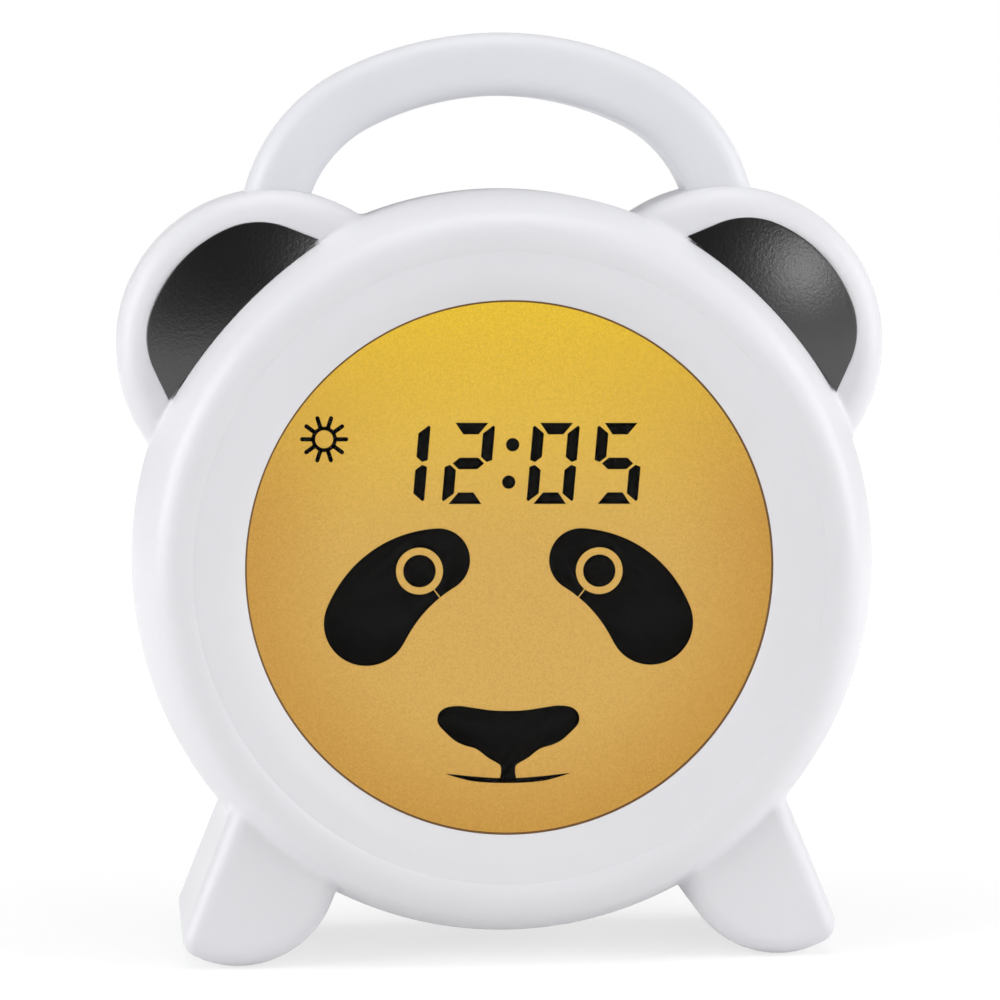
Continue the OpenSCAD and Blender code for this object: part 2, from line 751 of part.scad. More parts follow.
module lcd_panel() {
  color([0.85, 0.65, 0.3]) face_frame() disc(stack_r, panel_back, panel_front);
}

// sheet with a flat at the top for the lamps and one at the bottom for the ribbon
module flatted_disc(low, high) {
  intersection() {
    disc(stack_r, low, high);
    translate([-stack_r - 1, -guide_flat, low - 1]) cube([2 * stack_r + 2, 2 * guide_flat, high - low + 2]);
  }
}

module diffuser_sheet() {
  color([0.95, 0.95, 0.92]) face_frame() flatted_disc(diffuser_back, diffuser_front);
}

module light_guide() {
  color([0.9, 0.95, 0.95, 0.6]) face_frame() flatted_disc(guide_back, guide_front);
}

module reflector_sheet() {
  color([0.97, 0.97, 0.97]) face_frame() flatted_disc(reflector_back, reflector_front);
}

module lamp_board() {
  color([0.95, 0.95, 0.95]) face_frame()
    translate([-lamp_board_w / 2, guide_flat + lamp_room + lamp_h, guide_back])
      cube([lamp_board_w, lamp_board_t, guide_t]);
}

module lamps() {
  lamp_w = 3.2;
  color([0.98, 0.85, 0.4]) face_frame()
    for (i = [0:lamp_count - 1])
      translate([(i - (lamp_count - 1) / 2) * lamp_pitch - lamp_w / 2, guide_flat + lamp_room, guide_back + 0.6])
        cube([lamp_w, lamp_h, guide_t - 1.2]);
}

module display_holder() {
  rest_h = guide_flat + lamp_room + lamp_h + lamp_board_t + 0.2;
  color([0.9, 0.9, 0.88]) face_frame() difference() {
    union() {
      disc(holder_out_r, holder_back, lens_front - 0.3);
      for (a = holder_screw_angles) hull() {
        at_angle(screw_circle, a) translate([0, 0, holder_back]) cylinder(r = holder_tab_r, h = holder_t, $fn = 32);
        at_angle(holder_out_r - 1, a) translate([0, 0, holder_back]) cylinder(r = holder_tab_r, h = holder_t, $fn = 32);
      }
      for (p = main_board_holes) translate([p[0], p[1], main_front])
        cylinder(r = rear_post_r, h = board_post + eps, $fn = 32);
    }
    disc(holder_in_r, panel_back - 0.05, lens_front);
    intersection() {
      disc(holder_in_r, holder_floor, lens_front);
      translate([-holder_in_r, -guide_flat - 0.2, holder_floor - 1])
        cube([2 * holder_in_r, rest_h + guide_flat + 0.2, half_depth]);
    }
    // slot for the ribbon
    translate([-ribbon_w / 2 - 0.5, ribbon_z - 0.6, holder_back - 1]) cube([ribbon_w + 1, 1.5, half_depth]);
    for (a = holder_screw_angles) at_angle(screw_circle, a)
      translate([0, 0, holder_back - 1]) cylinder(r = small_screw_r + 0.2, h = holder_t + 2, $fn = 24);
    for (p = main_board_holes) translate([p[0], p[1], main_front - eps])
      cylinder(r = small_screw_r + screw_gap, h = board_post + holder_t - 0.6, $fn = 24);
  }
}

module lcd_ribbon() {
  color([0.75, 0.5, 0.2]) face_frame()
    translate([-ribbon_w / 2, ribbon_z, main_front + 0.02]) cube([ribbon_w, ribbon_t, panel_back - main_front - 0.04]);
}

module main_board() {
  color(board_green) face_frame() difference() {
    disc(main_board_r, main_back, main_front);
    for (p = main_board_holes) translate([p[0], p[1], main_back - 1])
      cylinder(r = small_screw_r + 0.2, h = board_t + 2, $fn = 24);
  }
}

// parts soldered to the rear side of the main board
module processor() {
  color([0.12, 0.12, 0.12]) face_frame() {
    translate([-chip_w / 2, chip_y - chip_w / 2, main_back - chip_h - 0.2]) cube([chip_w, chip_w, chip_h]);
    for (s = [0, 90, 180, 270]) translate([0, chip_y, main_back - pin_h]) rotate([0, 0, s])
      for (i = [-4:4]) translate([i * pin_pitch - pin_w / 2, chip_w / 2 - 0.1, 0]) cube([pin_w, pin_l, pin_h]);
  }
}

module crystal() {
  color(steel) face_frame() translate([chip_w + pin_l, chip_y, main_back - crystal_r]) rotate([0, 90, 0])
    cylinder(r = crystal_r, h = crystal_l, $fn = 32);
}

module capacitors() {
  color([0.15, 0.15, 0.3]) face_frame()
    for (p = [[-cap_x, chip_y], [-cap_x, chip_y - 3 * cap_r], [cap_x, -2 * cap_r]])
      translate([p[0], p[1], main_back - cap_h]) {
        translate([0, 0, 0.4]) cylinder(r = cap_r, h = cap_h - 0.4, $fn = 40);
        cylinder(r = cap_r - 0.6, h = 0.4, $fn = 40);
      }
}

module board_plugs() {
  color([0.95, 0.95, 0.9]) face_frame()
    for (i = [-1:1]) translate([i * plug_pitch - plug_w / 2, plug_y, main_back - plug_h]) difference() {
      cube([plug_w, plug_d, plug_h]);
      translate([plug_wall, plug_wall, -1]) cube([plug_w - 2 * plug_wall, plug_d - 2 * plug_wall, plug_h - 0.5]);
    }
}

module button_board() {
  color(board_green) face_frame() rearward() difference() {
    translate([-button_board_w / 2, panel_z - button_board_h / 2, button_board_back])
      cube([button_board_w, button_board_h, board_t]);
    for (p = button_board_holes) translate([p[0], p[1], button_board_back - 1])
      cylinder(r = small_screw_r + 0.2, h = board_t + 2, $fn = 24);
  }
}

module tact_switches() {
  color([0.2, 0.2, 0.2]) face_frame() rearward() for (x = button_x) translate([x, panel_z, button_board_back + board_t]) {
    translate([-tact_w / 2, -tact_w / 2, 0]) cube([tact_w, tact_w, tact_h - 1.3]);
    translate([0, 0, tact_h - 1.3]) cylinder(r = 1.7, h = tact_top - button_board_back - board_t - tact_h + 1.3, $fn = 32);
  }
}

module switch_body() {
  h = flange_low - 0.3 - button_board_back - board_t;
  color(steel) face_frame() rearward()
    translate([knob_x - 5, panel_z - 3.2, button_board_back + board_t]) difference() {
      cube([10, 6.4, h]);
      translate([5 - switch_travel / 2 - 1.6, 2, h - 1.5]) cube([switch_travel + 3.2, 2.4, 3]);
    }
}

// push button: a cap with a soft edge on a flange that stays behind the wall
module push_button(x) {
  top = panel_face + button_proud;
  edge = 0.8;
  color(white) face_frame() rearward() translate([x, panel_z, 0]) rotate_extrude($fn = 72)
    polygon(concat([[0, flange_low], [button_flange_r, flange_low], [button_flange_r, flange_top], [button_r, flange_top]],
                   arc(button_r - edge, top - edge, edge, 0, 90, 5), [[0, top - 0.25]]));
}

module set_button() {
  push_button(button_x[0]);
}

module down_button() {
  push_button(button_x[1]);
}

module up_button() {
  push_button(button_x[2]);
}

module light_button() {
  push_button(button_x[3]);
}

// sliding knob, shown at the left end of its slot
module alarm_knob() {
  x = knob_x - switch_travel / 2;
  base_w = knob_w + 3;
  color(white) face_frame() rearward() {
    translate([x - knob_w / 2, panel_z - knob_h / 2, flange_top - eps])
      cube([knob_w, knob_h, panel_face - flange_top + button_proud - 0.5]);
    for (i = [-1:1]) translate([x + i * 1.3 - 0.35, panel_z - knob_h / 2, panel_face + button_proud - 0.6])
      cube([0.7, knob_h, 0.6]);
    translate([x - base_w / 2, panel_z - knob_base_h / 2, flange_low]) cube([base_w, knob_base_h, button_flange_t]);
    translate([x - 0.8, panel_z - 0.8, flange_low - 1.2]) cube([1.6, 1.6, 1.2 + eps]);
  }
}

module speaker_gasket() {
  color([0.2, 0.2, 0.2]) face_frame() rearward() translate([0, speaker_z, back_in - 1]) difference() {
    cylinder(r = speaker_r, h = 1);
    translate([0, 0, -1]) cylinder(r = grille_r + 1.2, h = 3);
  }
}

module speaker_frame() {
  color(steel) face_frame() rearward() translate([0, speaker_z, back_in - 1]) rotate_extrude()
    polygon([[pole_r, -basket_h], [speaker_r - 3, 1.4 - basket_h], [speaker_r, -1.6], [speaker_r, 0],
             [speaker_r - 2, 0], [speaker_r - 2, -basket_t], [speaker_r - 3.6, 2.4 - basket_h],
             [pole_r, basket_t - basket_h]]);
}

module speaker_cone() {
  color([0.15, 0.15, 0.15]) face_frame() rearward() translate([0, speaker_z, back_in - 1]) rotate_extrude()
    polygon([[0, 0.5 - cone_h], [dust_cap_r, -cone_h], [speaker_r - 5, 2 - cone_h], [speaker_r - 2, -0.9],
             [speaker_r - 2, -0.4], [speaker_r - 5, 2.5 - cone_h], [dust_cap_r, 0.5 - cone_h],
             [0, 1.2 - cone_h]]);
}

module speaker_magnet() {
  color([0.3, 0.3, 0.32]) face_frame() rearward() translate([0, speaker_z, back_in - 1 - basket_h - magnet_h]) {
    cylinder(r = magnet_r, h = magnet_h);
    cylinder(r = pole_r, h = magnet_h + basket_t);
  }
}

module battery_door() {
  run = door_high - door_low - hinge_r;
  color(white) face_frame() rearward() {
    difference() {
      union() {
        translate([-door_w / 2, door_low + hinge_r, half_depth - door_t]) cube([door_w, run, door_t]);
        translate([-door_w / 2, door_low + hinge_r, half_depth - hinge_r]) rotate([0, 90, 0])
          cylinder(r = hinge_r, h = door_w, $fn = 40);
        translate([0, tab_z, half_depth - door_t]) cylinder(r = tab_r, h = door_t, $fn = 48);
      }
      translate([0, tab_z, half_depth - 3]) cylinder(r = screw_r + screw_gap, h = 4, $fn = 32);
      translate([0, tab_z, half_depth - 0.9]) cylinder(r = screw_head_r + 0.2, h = 4, $fn = 40);
      // grip ridges cut into the upper part
      for (i = [0:3]) translate([-door_grip_w / 2, door_high - 9 - 2.4 * i, half_depth - 0.6])
        cube([door_grip_w, 1.2, 1]);
    }
    translate([-door_w / 2 - hinge_pin_l, door_low + hinge_r, half_depth - hinge_r]) rotate([0, 90, 0])
      cylinder(r = hinge_pin_r, h = door_w + 2 * hinge_pin_l, $fn = 32);
    // ribs that keep the batteries down
    for (x = [-cell_l / 4, cell_l / 4]) translate([x - 0.6, bay_z - bay_h / 2 + 3, half_depth - door_t - 1.2])
      cube([1.2, bay_h - 6, 1.2 + eps]);
  }
}

module door_screw() {
  color(steel) face_frame() rearward() translate([0, tab_z, 0]) difference() {
    union() {
      translate([0, 0, half_depth - 0.9]) cylinder(r = screw_head_r, h = 0.8, $fn = 40);
      translate([0, 0, half_depth - door_t - 4]) cylinder(r = screw_r, h = door_t + 3.5, $fn = 32);
    }
    for (a = [0, 90]) rotate([0, 0, a]) translate([-1.7, -0.35, half_depth - 0.7]) cube([3.4, 0.7, 2]);
  }
}

module each_cell() {
  for (i = [-1:1]) translate([0, bay_z + i * cell_pitch, cell_back]) rotate([0, 0, i == 0 ? 180 : 0]) children();
}

module batteries() {
  cap_l = 1;
  color([0.35, 0.36, 0.4]) face_frame() rearward() each_cell() rotate([0, 90, 0]) {
    translate([0, 0, -cell_l / 2]) cylinder(r = cell_r, h = cell_l - cap_l);
    translate([0, 0, cell_l / 2 - cap_l - eps]) cylinder(r = 2.7, h = cap_l + eps, $fn = 32);
  }
}

// conical spring: a round wire swept along a tapering helix
function coil_point(t, turns, r0, r1, h) =
  let(r = r0 + (r1 - r0) * t) [r * cos(360 * turns * t), r * sin(360 * turns * t), h * t];

module coil(turns, r0, r1, h, wire) {
  steps = 14 * turns;
  swept([for (i = [0:steps]) let(t = i / steps, c = coil_point(t, turns, r0, r1, h), a = 360 * turns * t)
    [for (k = [0:5]) let(u = wire * cos(60 * k), v = wire * sin(60 * k))
      [c[0] + u * cos(a), c[1] + u * sin(a), c[2] + v]]]);
}

module contact_plate() {
  translate([-contact_w / 2, -contact_h / 2, 0]) cube([contact_w, contact_h, contact_t]);
}

module battery_springs() {
  color(steel) face_frame() rearward() each_cell()
    translate([-bay_w / 2 + 0.1, 0, 0]) rotate([0, 90, 0]) {
      contact_plate();
      translate([0, 0, 0.6]) coil(3, 3.6, 2.2, contact_room - 1.2, 0.26);
      translate([2.9, -0.6, 0.3]) cube([1.4, 1.2, 0.5]);
    }
}

module battery_contacts() {
  color(steel) face_frame() rearward() each_cell()
    translate([bay_w / 2 - 0.1, 0, 0]) rotate([0, -90, 0]) {
      contact_plate();
      translate([0, 0, 0.4 - eps]) cylinder(r1 = 3.4, r2 = 2.6, h = contact_room - 0.6, $fn = 32);
    }
}

module inlet_board() {
  color(board_green) face_frame() rearward()
    translate([inlet_x - inlet_board_w / 2, inlet_board_z, surround_back - 0.3 - inlet_board_l])
      cube([inlet_board_w, board_t, inlet_board_l]);
}

module usb_inlet() {
  r = inlet_h / 2;
  color(steel) face_frame() rearward() translate([inlet_x, inlet_z, socket_back - socket_l]) difference() {
    linear_extrude(socket_l) inlet_outline(r);
    translate([0, 0, 1]) linear_extrude(socket_l) inlet_outline(r - 0.3);
  }
  color([0.1, 0.1, 0.1]) face_frame() rearward()
    translate([inlet_x - inlet_w / 2 + 1.4, inlet_z - 0.35, socket_back - socket_l + 0.9]) cube([inlet_w - 2.8, 0.7, socket_l - 1.9]);
}

module inlet_outline(r) {
  run = inlet_w / 2 - inlet_h / 2;
  translate([-run, -r]) square([2 * run, 2 * r]);
  for (s = [-1, 1]) translate([s * run, 0]) circle(r = r, $fn = 32);
}

// pan-head screw with its head's seat at z = 0 and its shank towards the front
module pan_screw(head_r, head_h, shank_r, length) {
  difference() {
    union() {
      translate([0, 0, -head_h]) cylinder(r1 = head_r - 0.5, r2 = head_r, h = head_h, $fn = 40);
      translate([0, 0, -eps]) cylinder(r = shank_r, h = length, $fn = 32);
    }
    for (a = [0, 90]) rotate([0, 0, a])
      translate([-head_r * 0.6, -0.35, -head_h - 1]) cube([head_r * 1.2, 0.7, head_h * 0.6 + 1]);
  }
}

module housing_screws() {
  color(steel) face_frame() for (a = housing_screw_angles) at_angle(screw_circle, a) translate([0, 0, -well_floor])
    pan_screw(screw_head_r, screw_head_h, screw_r, well_floor + screw_reach);
}

module holder_screws() {
  color(steel) face_frame() for (a = holder_screw_angles) at_angle(screw_circle, a) translate([0, 0, holder_back])
    pan_screw(small_head_r, 1.4, small_screw_r, holder_t + holder_screw_reach);
}

module board_screws() {
  color(steel) face_frame() for (p = main_board_holes) translate([p[0], p[1], main_back])
    pan_screw(small_head_r, 1.4, small_screw_r, board_t + board_post);
}

module rear_board_screws() {
  color(steel) face_frame() for (p = button_board_holes) translate([p[0], p[1], -button_board_back]) mirror([0, 0, 1])
    pan_screw(small_head_r, 1.4, small_screw_r, board_t + board_screw_l);
}

front_shell();
rear_shell();
bezel_ring();
ear_insert_left();
ear_insert_right();
carry_handle();
foot_pad_left();
foot_pad_right();
display_lens();
lcd_panel();
diffuser_sheet();
light_guide();
reflector_sheet();
lamp_board();
lamps();
display_holder();
lcd_ribbon();
main_board();
processor();
crystal();
capacitors();
board_plugs();
button_board();
tact_switches();
switch_body();
set_button();
down_button();
up_button();
light_button();
alarm_knob();
speaker_frame();
speaker_cone();
speaker_magnet();
speaker_gasket();
battery_door();
door_screw();
batteries();
battery_springs();
battery_contacts();
inlet_board();
usb_inlet();
housing_screws();
holder_screws();
board_screws();
rear_board_screws();
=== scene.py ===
import bmesh
import bpy
import math
import numpy as np
from mathutils import Matrix, Vector


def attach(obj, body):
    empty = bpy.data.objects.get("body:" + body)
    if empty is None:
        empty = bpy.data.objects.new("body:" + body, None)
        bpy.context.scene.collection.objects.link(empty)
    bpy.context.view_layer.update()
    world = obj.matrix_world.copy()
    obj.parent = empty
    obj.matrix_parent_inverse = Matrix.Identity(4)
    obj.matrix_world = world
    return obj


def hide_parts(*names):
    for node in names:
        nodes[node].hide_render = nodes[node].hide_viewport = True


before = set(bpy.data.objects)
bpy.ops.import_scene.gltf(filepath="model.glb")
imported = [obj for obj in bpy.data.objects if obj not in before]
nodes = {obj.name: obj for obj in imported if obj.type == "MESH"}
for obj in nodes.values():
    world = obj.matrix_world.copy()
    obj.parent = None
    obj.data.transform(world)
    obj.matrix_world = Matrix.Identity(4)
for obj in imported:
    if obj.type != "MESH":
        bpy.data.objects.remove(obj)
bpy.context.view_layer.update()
mm = 0.001
bodyCentre = 82.0  # height of the housing's middle above the floor, mm


def depthPoints(across, up, forward):
    # millimetres right, above the housing's middle and in front of the joint line, to metres in the frame
    across, up, forward = np.broadcast_arrays(across, up, forward)
    return np.stack([across, -forward, up + bodyCentre], axis=-1) * mm


def meshPiece(name, points, faces, material, body="housing", replaced=(), sharp=None):
    mesh = bpy.data.meshes.new(name)
    mesh.from_pydata(points.reshape(-1, 3).tolist(), [], [list(f) for f in faces])
    mesh.validate()
    mesh.update()
    mesh.polygons.foreach_set("use_smooth", np.ones(len(mesh.polygons), dtype=bool))
    if sharp:
        mesh.set_sharp_from_angle(angle=math.radians(sharp))
    piece = bpy.data.objects.new(name, mesh)
    bpy.context.scene.collection.objects.link(piece)
    mesh.materials.append(material)
    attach(piece, body)
    if replaced:
        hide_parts(*replaced)
    return piece


def gridFaces(rows, columns, loopRows=False, loopColumns=False):
    # quads between neighbouring points of a grid that is numbered row by row
    r = np.arange(rows if loopRows else rows - 1)[:, None]
    c = np.arange(columns if loopColumns else columns - 1)[None, :]
    nextR, nextC = (r + 1) % rows, (c + 1) % columns
    quads = np.stack(np.broadcast_arrays(r * columns + c, r * columns + nextC,
                                         nextR * columns + nextC, nextR * columns + c), axis=-1)
    return quads.reshape(-1, 4)


def outward(points, faces):
    # faces of a closed mesh, turned over if the volume they enclose comes out negative
    flat = points.reshape(-1, 3)
    volume = 0.0
    for size in {len(f) for f in faces}:
        group = np.array([f for f in faces if len(f) == size])
        for k in range(1, size - 1):
            a, b, c = flat[group[:, 0]], flat[group[:, k]], flat[group[:, k + 1]]
            volume += np.einsum("ij,ij->i", a, np.cross(b, c)).sum()
    return [f[::-1] for f in faces] if volume < 0 else faces


def revolved(profile, steps):
    # closed profile of (radius, forward) pairs, turned once round an axis that runs front to back
    turn = np.linspace(0, 2 * math.pi, steps, endpoint=False)[:, None]
    radius, forward = np.array(profile).T
    points = depthPoints(radius * np.cos(turn), radius * np.sin(turn), forward)
    return points, gridFaces(steps, len(profile), loopRows=True, loopColumns=True).tolist()


def arc(cx, cy, radius, start, end, steps):
    # points on a circle from one angle to another, in degrees
    a = np.radians(np.linspace(start, end, steps + 1))
    return np.stack([cx + radius * np.cos(a), cy + radius * np.sin(a)], axis=-1)


def smoothLoop(corners, steps):
    # closed Catmull-Rom curve: each stretch is a cubic through two points, led by the neighbours of both
    p1 = np.array(corners, float)[:, None, :]
    p0, p2, p3 = np.roll(p1, 1, axis=0), np.roll(p1, -1, axis=0), np.roll(p1, -2, axis=0)
    t = np.linspace(0, 1, steps, endpoint=False)[None, :, None]
    curve = 0.5 * (2 * p1 + (p2 - p0) * t + (2 * p0 - 5 * p1 + 4 * p2 - p3) * t ** 2
                   + (3 * p1 - p0 - 3 * p2 + p3) * t ** 3)
    return curve.reshape(-1, 2)


def newGroup(name, inputs, outputs):
    group = bpy.data.node_groups.new(name, "ShaderNodeTree")
    for label, kind, value in inputs:
        socket = group.interface.new_socket(label, in_out="INPUT", socket_type=kind)
        socket.default_value = value
    for label, kind in outputs:
        group.interface.new_socket(label, in_out="OUTPUT", socket_type=kind)
    return group, group.nodes.new("NodeGroupInput"), group.nodes.new("NodeGroupOutput")


def node(tree, kind, **settings):
    made = tree.nodes.new(kind)
    for key, value in settings.items():
        if key in made.inputs:
            made.inputs[key].default_value = value
        else:
            setattr(made, key, value)
    return made


def mouldGrainGroup():
    # a fine even grain for the height, and a broad slow mottle, both from noise in object space
    group, given, out = newGroup("mouldGrain", [
        ("Grain per metre", "NodeSocketFloat", 2500.0), ("Mottle per metre", "NodeSocketFloat", 18.0)],
        [("Height", "NodeSocketFloat"), ("Mottle", "NodeSocketFloat")])
    place = node(group, "ShaderNodeTexCoord")
    fine = node(group, "ShaderNodeTexNoise", Detail=2.0, Roughness=0.6)
    broad = node(group, "ShaderNodeTexNoise", Detail=3.0, Roughness=0.5)
    for noise, scale in ((fine, "Grain per metre"), (broad, "Mottle per metre")):
        group.links.new(place.outputs["Object"], noise.inputs["Vector"])
        group.links.new(given.outputs[scale], noise.inputs["Scale"])
    group.links.new(fine.outputs["Fac"], out.inputs["Height"])
    group.links.new(broad.outputs["Fac"], out.inputs["Mottle"])
    return group


def linear(red, green, blue):
    # screen colour, 0 to 255, to the linear value that a shader takes
    c = np.array([red, green, blue]) / 255.0
    return tuple(np.where(c <= 0.04045, c / 12.92, ((c + 0.055) / 1.055) ** 2.4).tolist()) + (1.0,)


grainGroup = mouldGrainGroup()


def moulded(name, look):
    # a plain finish: two close colours and two roughnesses mixed by the mottle, and the grain as bump
    material = bpy.data.materials.new(name)
    material.use_nodes = True
    tree = material.node_tree
    shader = tree.nodes["Principled BSDF"]
    group = node(tree, "ShaderNodeGroup", node_tree=grainGroup)
    group.inputs["Grain per metre"].default_value = look.get("grain", 2500.0)
    group.inputs["Mottle per metre"].default_value = look.get("mottle", 18.0)
    spread = node(tree, "ShaderNodeMapRange", **{"From Min": 0.35, "From Max": 0.65})
    tree.links.new(group.outputs["Mottle"], spread.inputs["Value"])
    colour = np.array(linear(*look["colour"]))
    shade = look.get("shade", 0.03)
    tint = node(tree, "ShaderNodeMix", data_type="RGBA")
    tint.inputs["A"].default_value = tuple(colour[:3] * (1 - shade)) + (1.0,)
    tint.inputs["B"].default_value = tuple(np.minimum(colour[:3] * (1 + shade), 1)) + (1.0,)
    tree.links.new(spread.outputs["Result"], tint.inputs["Factor"])
    tree.links.new(tint.outputs["Result"], shader.inputs["Base Color"])
    rough = node(tree, "ShaderNodeMapRange", **{"From Min": 0.3, "From Max": 0.7})
    low, high = look["rough"]
    rough.inputs["To Min"].default_value, rough.inputs["To Max"].default_value = low, high
    tree.links.new(group.outputs["Mottle"], rough.inputs["Value"])
    tree.links.new(rough.outputs["Result"], shader.inputs["Roughness"])
    bump = node(tree, "ShaderNodeBump", Strength=look.get("bump", 0.05), Distance=look.get("deep", 0.00002))
    tree.links.new(group.outputs["Height"], bump.inputs["Height"])
    tree.links.new(bump.outputs["Normal"], shader.inputs["Normal"])
    shader.inputs["Metallic"].default_value = look.get("metal", 0.0)
    shader.inputs["IOR"].default_value = look.get("ior", 1.46)
    shader.inputs["Specular IOR Level"].default_value = look.get("gloss", 0.5)
    shader.inputs["Transmission Weight"].default_value = look.get("clear", 0.0)
    return material


finishes = {
    "shellWhite": {"colour": (226, 226, 230), "rough": (0.34, 0.42), "shade": 0.012, "bump": 0.08},
    "bezelWhite": {"colour": (226, 226, 230), "rough": (0.36, 0.44), "shade": 0.012, "bump": 0.08},
    "handleWhite": {"colour": (222, 223, 228), "rough": (0.36, 0.44), "shade": 0.012, "bump": 0.08},
    "buttonWhite": {"colour": (221, 221, 225), "rough": (0.4, 0.5), "shade": 0.015, "bump": 0.1},
    "insertBlack": {"colour": (9, 9, 9), "rough": (0.27, 0.32), "shade": 0.08, "grain": 1500.0, "bump": 0.6,
                    "deep": 0.00007, "ior": 1.75},
    "padRubber": {"colour": (60, 60, 62), "rough": (0.75, 0.9), "bump": 0.4},
    "sheetWhite": {"colour": (240, 240, 236), "rough": (0.6, 0.7)},
    "guideClear": {"colour": (245, 249, 247), "rough": (0.1, 0.15), "clear": 0.9, "ior": 1.49},
    "lampAmber": {"colour": (247, 225, 150), "rough": (0.2, 0.3)},
    "innerPlastic": {"colour": (228, 228, 224), "rough": (0.5, 0.6)},
    "ribbonAmber": {"colour": (190, 130, 55), "rough": (0.3, 0.4)},
    "boardGreen": {"colour": (24, 92, 46), "rough": (0.3, 0.45), "shade": 0.08, "mottle": 120.0},
    "chipBlack": {"colour": (38, 38, 38), "rough": (0.5, 0.6), "bump": 0.3},
    "platedSteel": {"colour": (200, 200, 202), "rough": (0.22, 0.34), "metal": 1.0},
    "capacitorSleeve": {"colour": (32, 32, 66), "rough": (0.3, 0.4)},
    "plugCream": {"colour": (238, 232, 212), "rough": (0.5, 0.6)},
    "coneBlack": {"colour": (42, 42, 42), "rough": (0.8, 0.95), "bump": 0.5, "grain": 4000.0},
    "magnetGrey": {"colour": (90, 90, 93), "rough": (0.35, 0.5), "metal": 1.0},
    "foamBlack": {"colour": (45, 45, 45), "rough": (0.9, 1.0), "bump": 0.8, "grain": 3000.0},
    "cellGrey": {"colour": (96, 98, 104), "rough": (0.3, 0.42), "metal": 0.6},
}
made = {name: moulded(name, look) for name, look in finishes.items()}
print("materials made:", len(made))


display = {"radius": 58.2, "lensFront": 20.8, "lensBack": 19.6, "panelFront": 19.5, "panelBack": 17.2,
           "inkFront": 19.56, "inkBack": 19.53, "turn": -0.8, "shift": (0.33, -0.53),
           "top": (229, 189, 54), "middle": (209, 167, 88), "rim": (195, 145, 66), "ink": (8, 7, 7)}
# heights above the middle and radii, in millimetres, between which the panel's colours change
glowSpan = {"lowest": -4, "highest": 56, "rimFrom": 30, "rimTo": 58, "rimShare": 0.85,
            "fadeHigh": 52, "fadeLow": 10}


def litPanel():
    # lit ground: colour runs from the lamps at the top to the middle, and darker towards the rim
    material = bpy.data.materials.new("litAmber")
    material.use_nodes = True
    tree = material.node_tree
    shader = tree.nodes["Principled BSDF"]
    place = node(tree, "ShaderNodeTexCoord")
    split = node(tree, "ShaderNodeSeparateXYZ")
    tree.links.new(place.outputs["Object"], split.inputs["Vector"])
    centred = node(tree, "ShaderNodeVectorMath", operation="SUBTRACT")
    centred.inputs[1].default_value = (0, -display["panelFront"] * mm, bodyCentre * mm)
    tree.links.new(place.outputs["Object"], centred.inputs[0])
    reach = node(tree, "ShaderNodeVectorMath", operation="LENGTH")
    tree.links.new(centred.outputs["Vector"], reach.inputs[0])
    height = node(tree, "ShaderNodeMapRange", interpolation_type="SMOOTHSTEP",
                  **{"From Min": (bodyCentre + glowSpan["lowest"]) * mm,
                     "From Max": (bodyCentre + glowSpan["highest"]) * mm})
    tree.links.new(split.outputs["Z"], height.inputs["Value"])
    rimward = node(tree, "ShaderNodeMapRange", interpolation_type="SMOOTHSTEP",
                   **{"From Min": glowSpan["rimFrom"] * mm, "From Max": glowSpan["rimTo"] * mm,
                      "To Max": glowSpan["rimShare"]})
    tree.links.new(reach.outputs["Value"], rimward.inputs["Value"])
    low = node(tree, "ShaderNodeMapRange", **{"From Min": (bodyCentre + glowSpan["fadeHigh"]) * mm,
                                              "From Max": (bodyCentre + glowSpan["fadeLow"]) * mm})
    tree.links.new(split.outputs["Z"], low.inputs["Value"])
    rimLow = node(tree, "ShaderNodeMath", operation="MULTIPLY")
    tree.links.new(rimward.outputs["Result"], rimLow.inputs[0])
    tree.links.new(low.outputs["Result"], rimLow.inputs[1])
    glow = node(tree, "ShaderNodeMix", data_type="RGBA")
    glow.inputs["A"].default_value = linear(*display["middle"])
    glow.inputs["B"].default_value = linear(*display["top"])
    tree.links.new(height.outputs["Result"], glow.inputs["Factor"])
    edge = node(tree, "ShaderNodeMix", data_type="RGBA")
    edge.inputs["B"].default_value = linear(*display["rim"])
    tree.links.new(rimLow.outputs["Value"], edge.inputs["Factor"])
    tree.links.new(glow.outputs["Result"], edge.inputs["A"])
    grain = node(tree, "ShaderNodeTexNoise", Scale=2600.0, Detail=1.0)
    tree.links.new(place.outputs["Object"], grain.inputs["Vector"])
    speck = node(tree, "ShaderNodeMapRange",
                 **{"From Min": 0.3, "From Max": 0.7, "To Min": 0.92, "To Max": 1.08})
    tree.links.new(grain.outputs["Fac"], speck.inputs["Value"])
    lit = node(tree, "ShaderNodeVectorMath", operation="SCALE")
    tree.links.new(edge.outputs["Result"], lit.inputs[0])
    tree.links.new(speck.outputs["Result"], lit.inputs["Scale"])
    tree.links.new(lit.outputs["Vector"], shader.inputs["Emission Color"])
    # the bezel's matt surface isn't lit by the panel, which only the eye, gloss and glass see
    light = node(tree, "ShaderNodeLightPath")
    seen = node(tree, "ShaderNodeMath", operation="SUBTRACT")
    seen.inputs[0].default_value = 1.0
    tree.links.new(light.outputs["Is Diffuse Ray"], seen.inputs[1])
    tree.links.new(seen.outputs["Value"], shader.inputs["Emission Strength"])
    shader.inputs["Base Color"].default_value = (0.01, 0.008, 0.004, 1)
    shader.inputs["Roughness"].default_value = 0.6
    shader.inputs["Specular IOR Level"].default_value = 0.05
    return material


def lensClear():
    material = bpy.data.materials.new("lensClear")
    material.use_nodes = True
    shader = material.node_tree.nodes["Principled BSDF"]
    shader.inputs["Base Color"].default_value = (1, 1, 1, 1)
    shader.inputs["Roughness"].default_value = 0.03
    shader.inputs["IOR"].default_value = 1.08
    shader.inputs["Transmission Weight"].default_value = 1.0
    return material


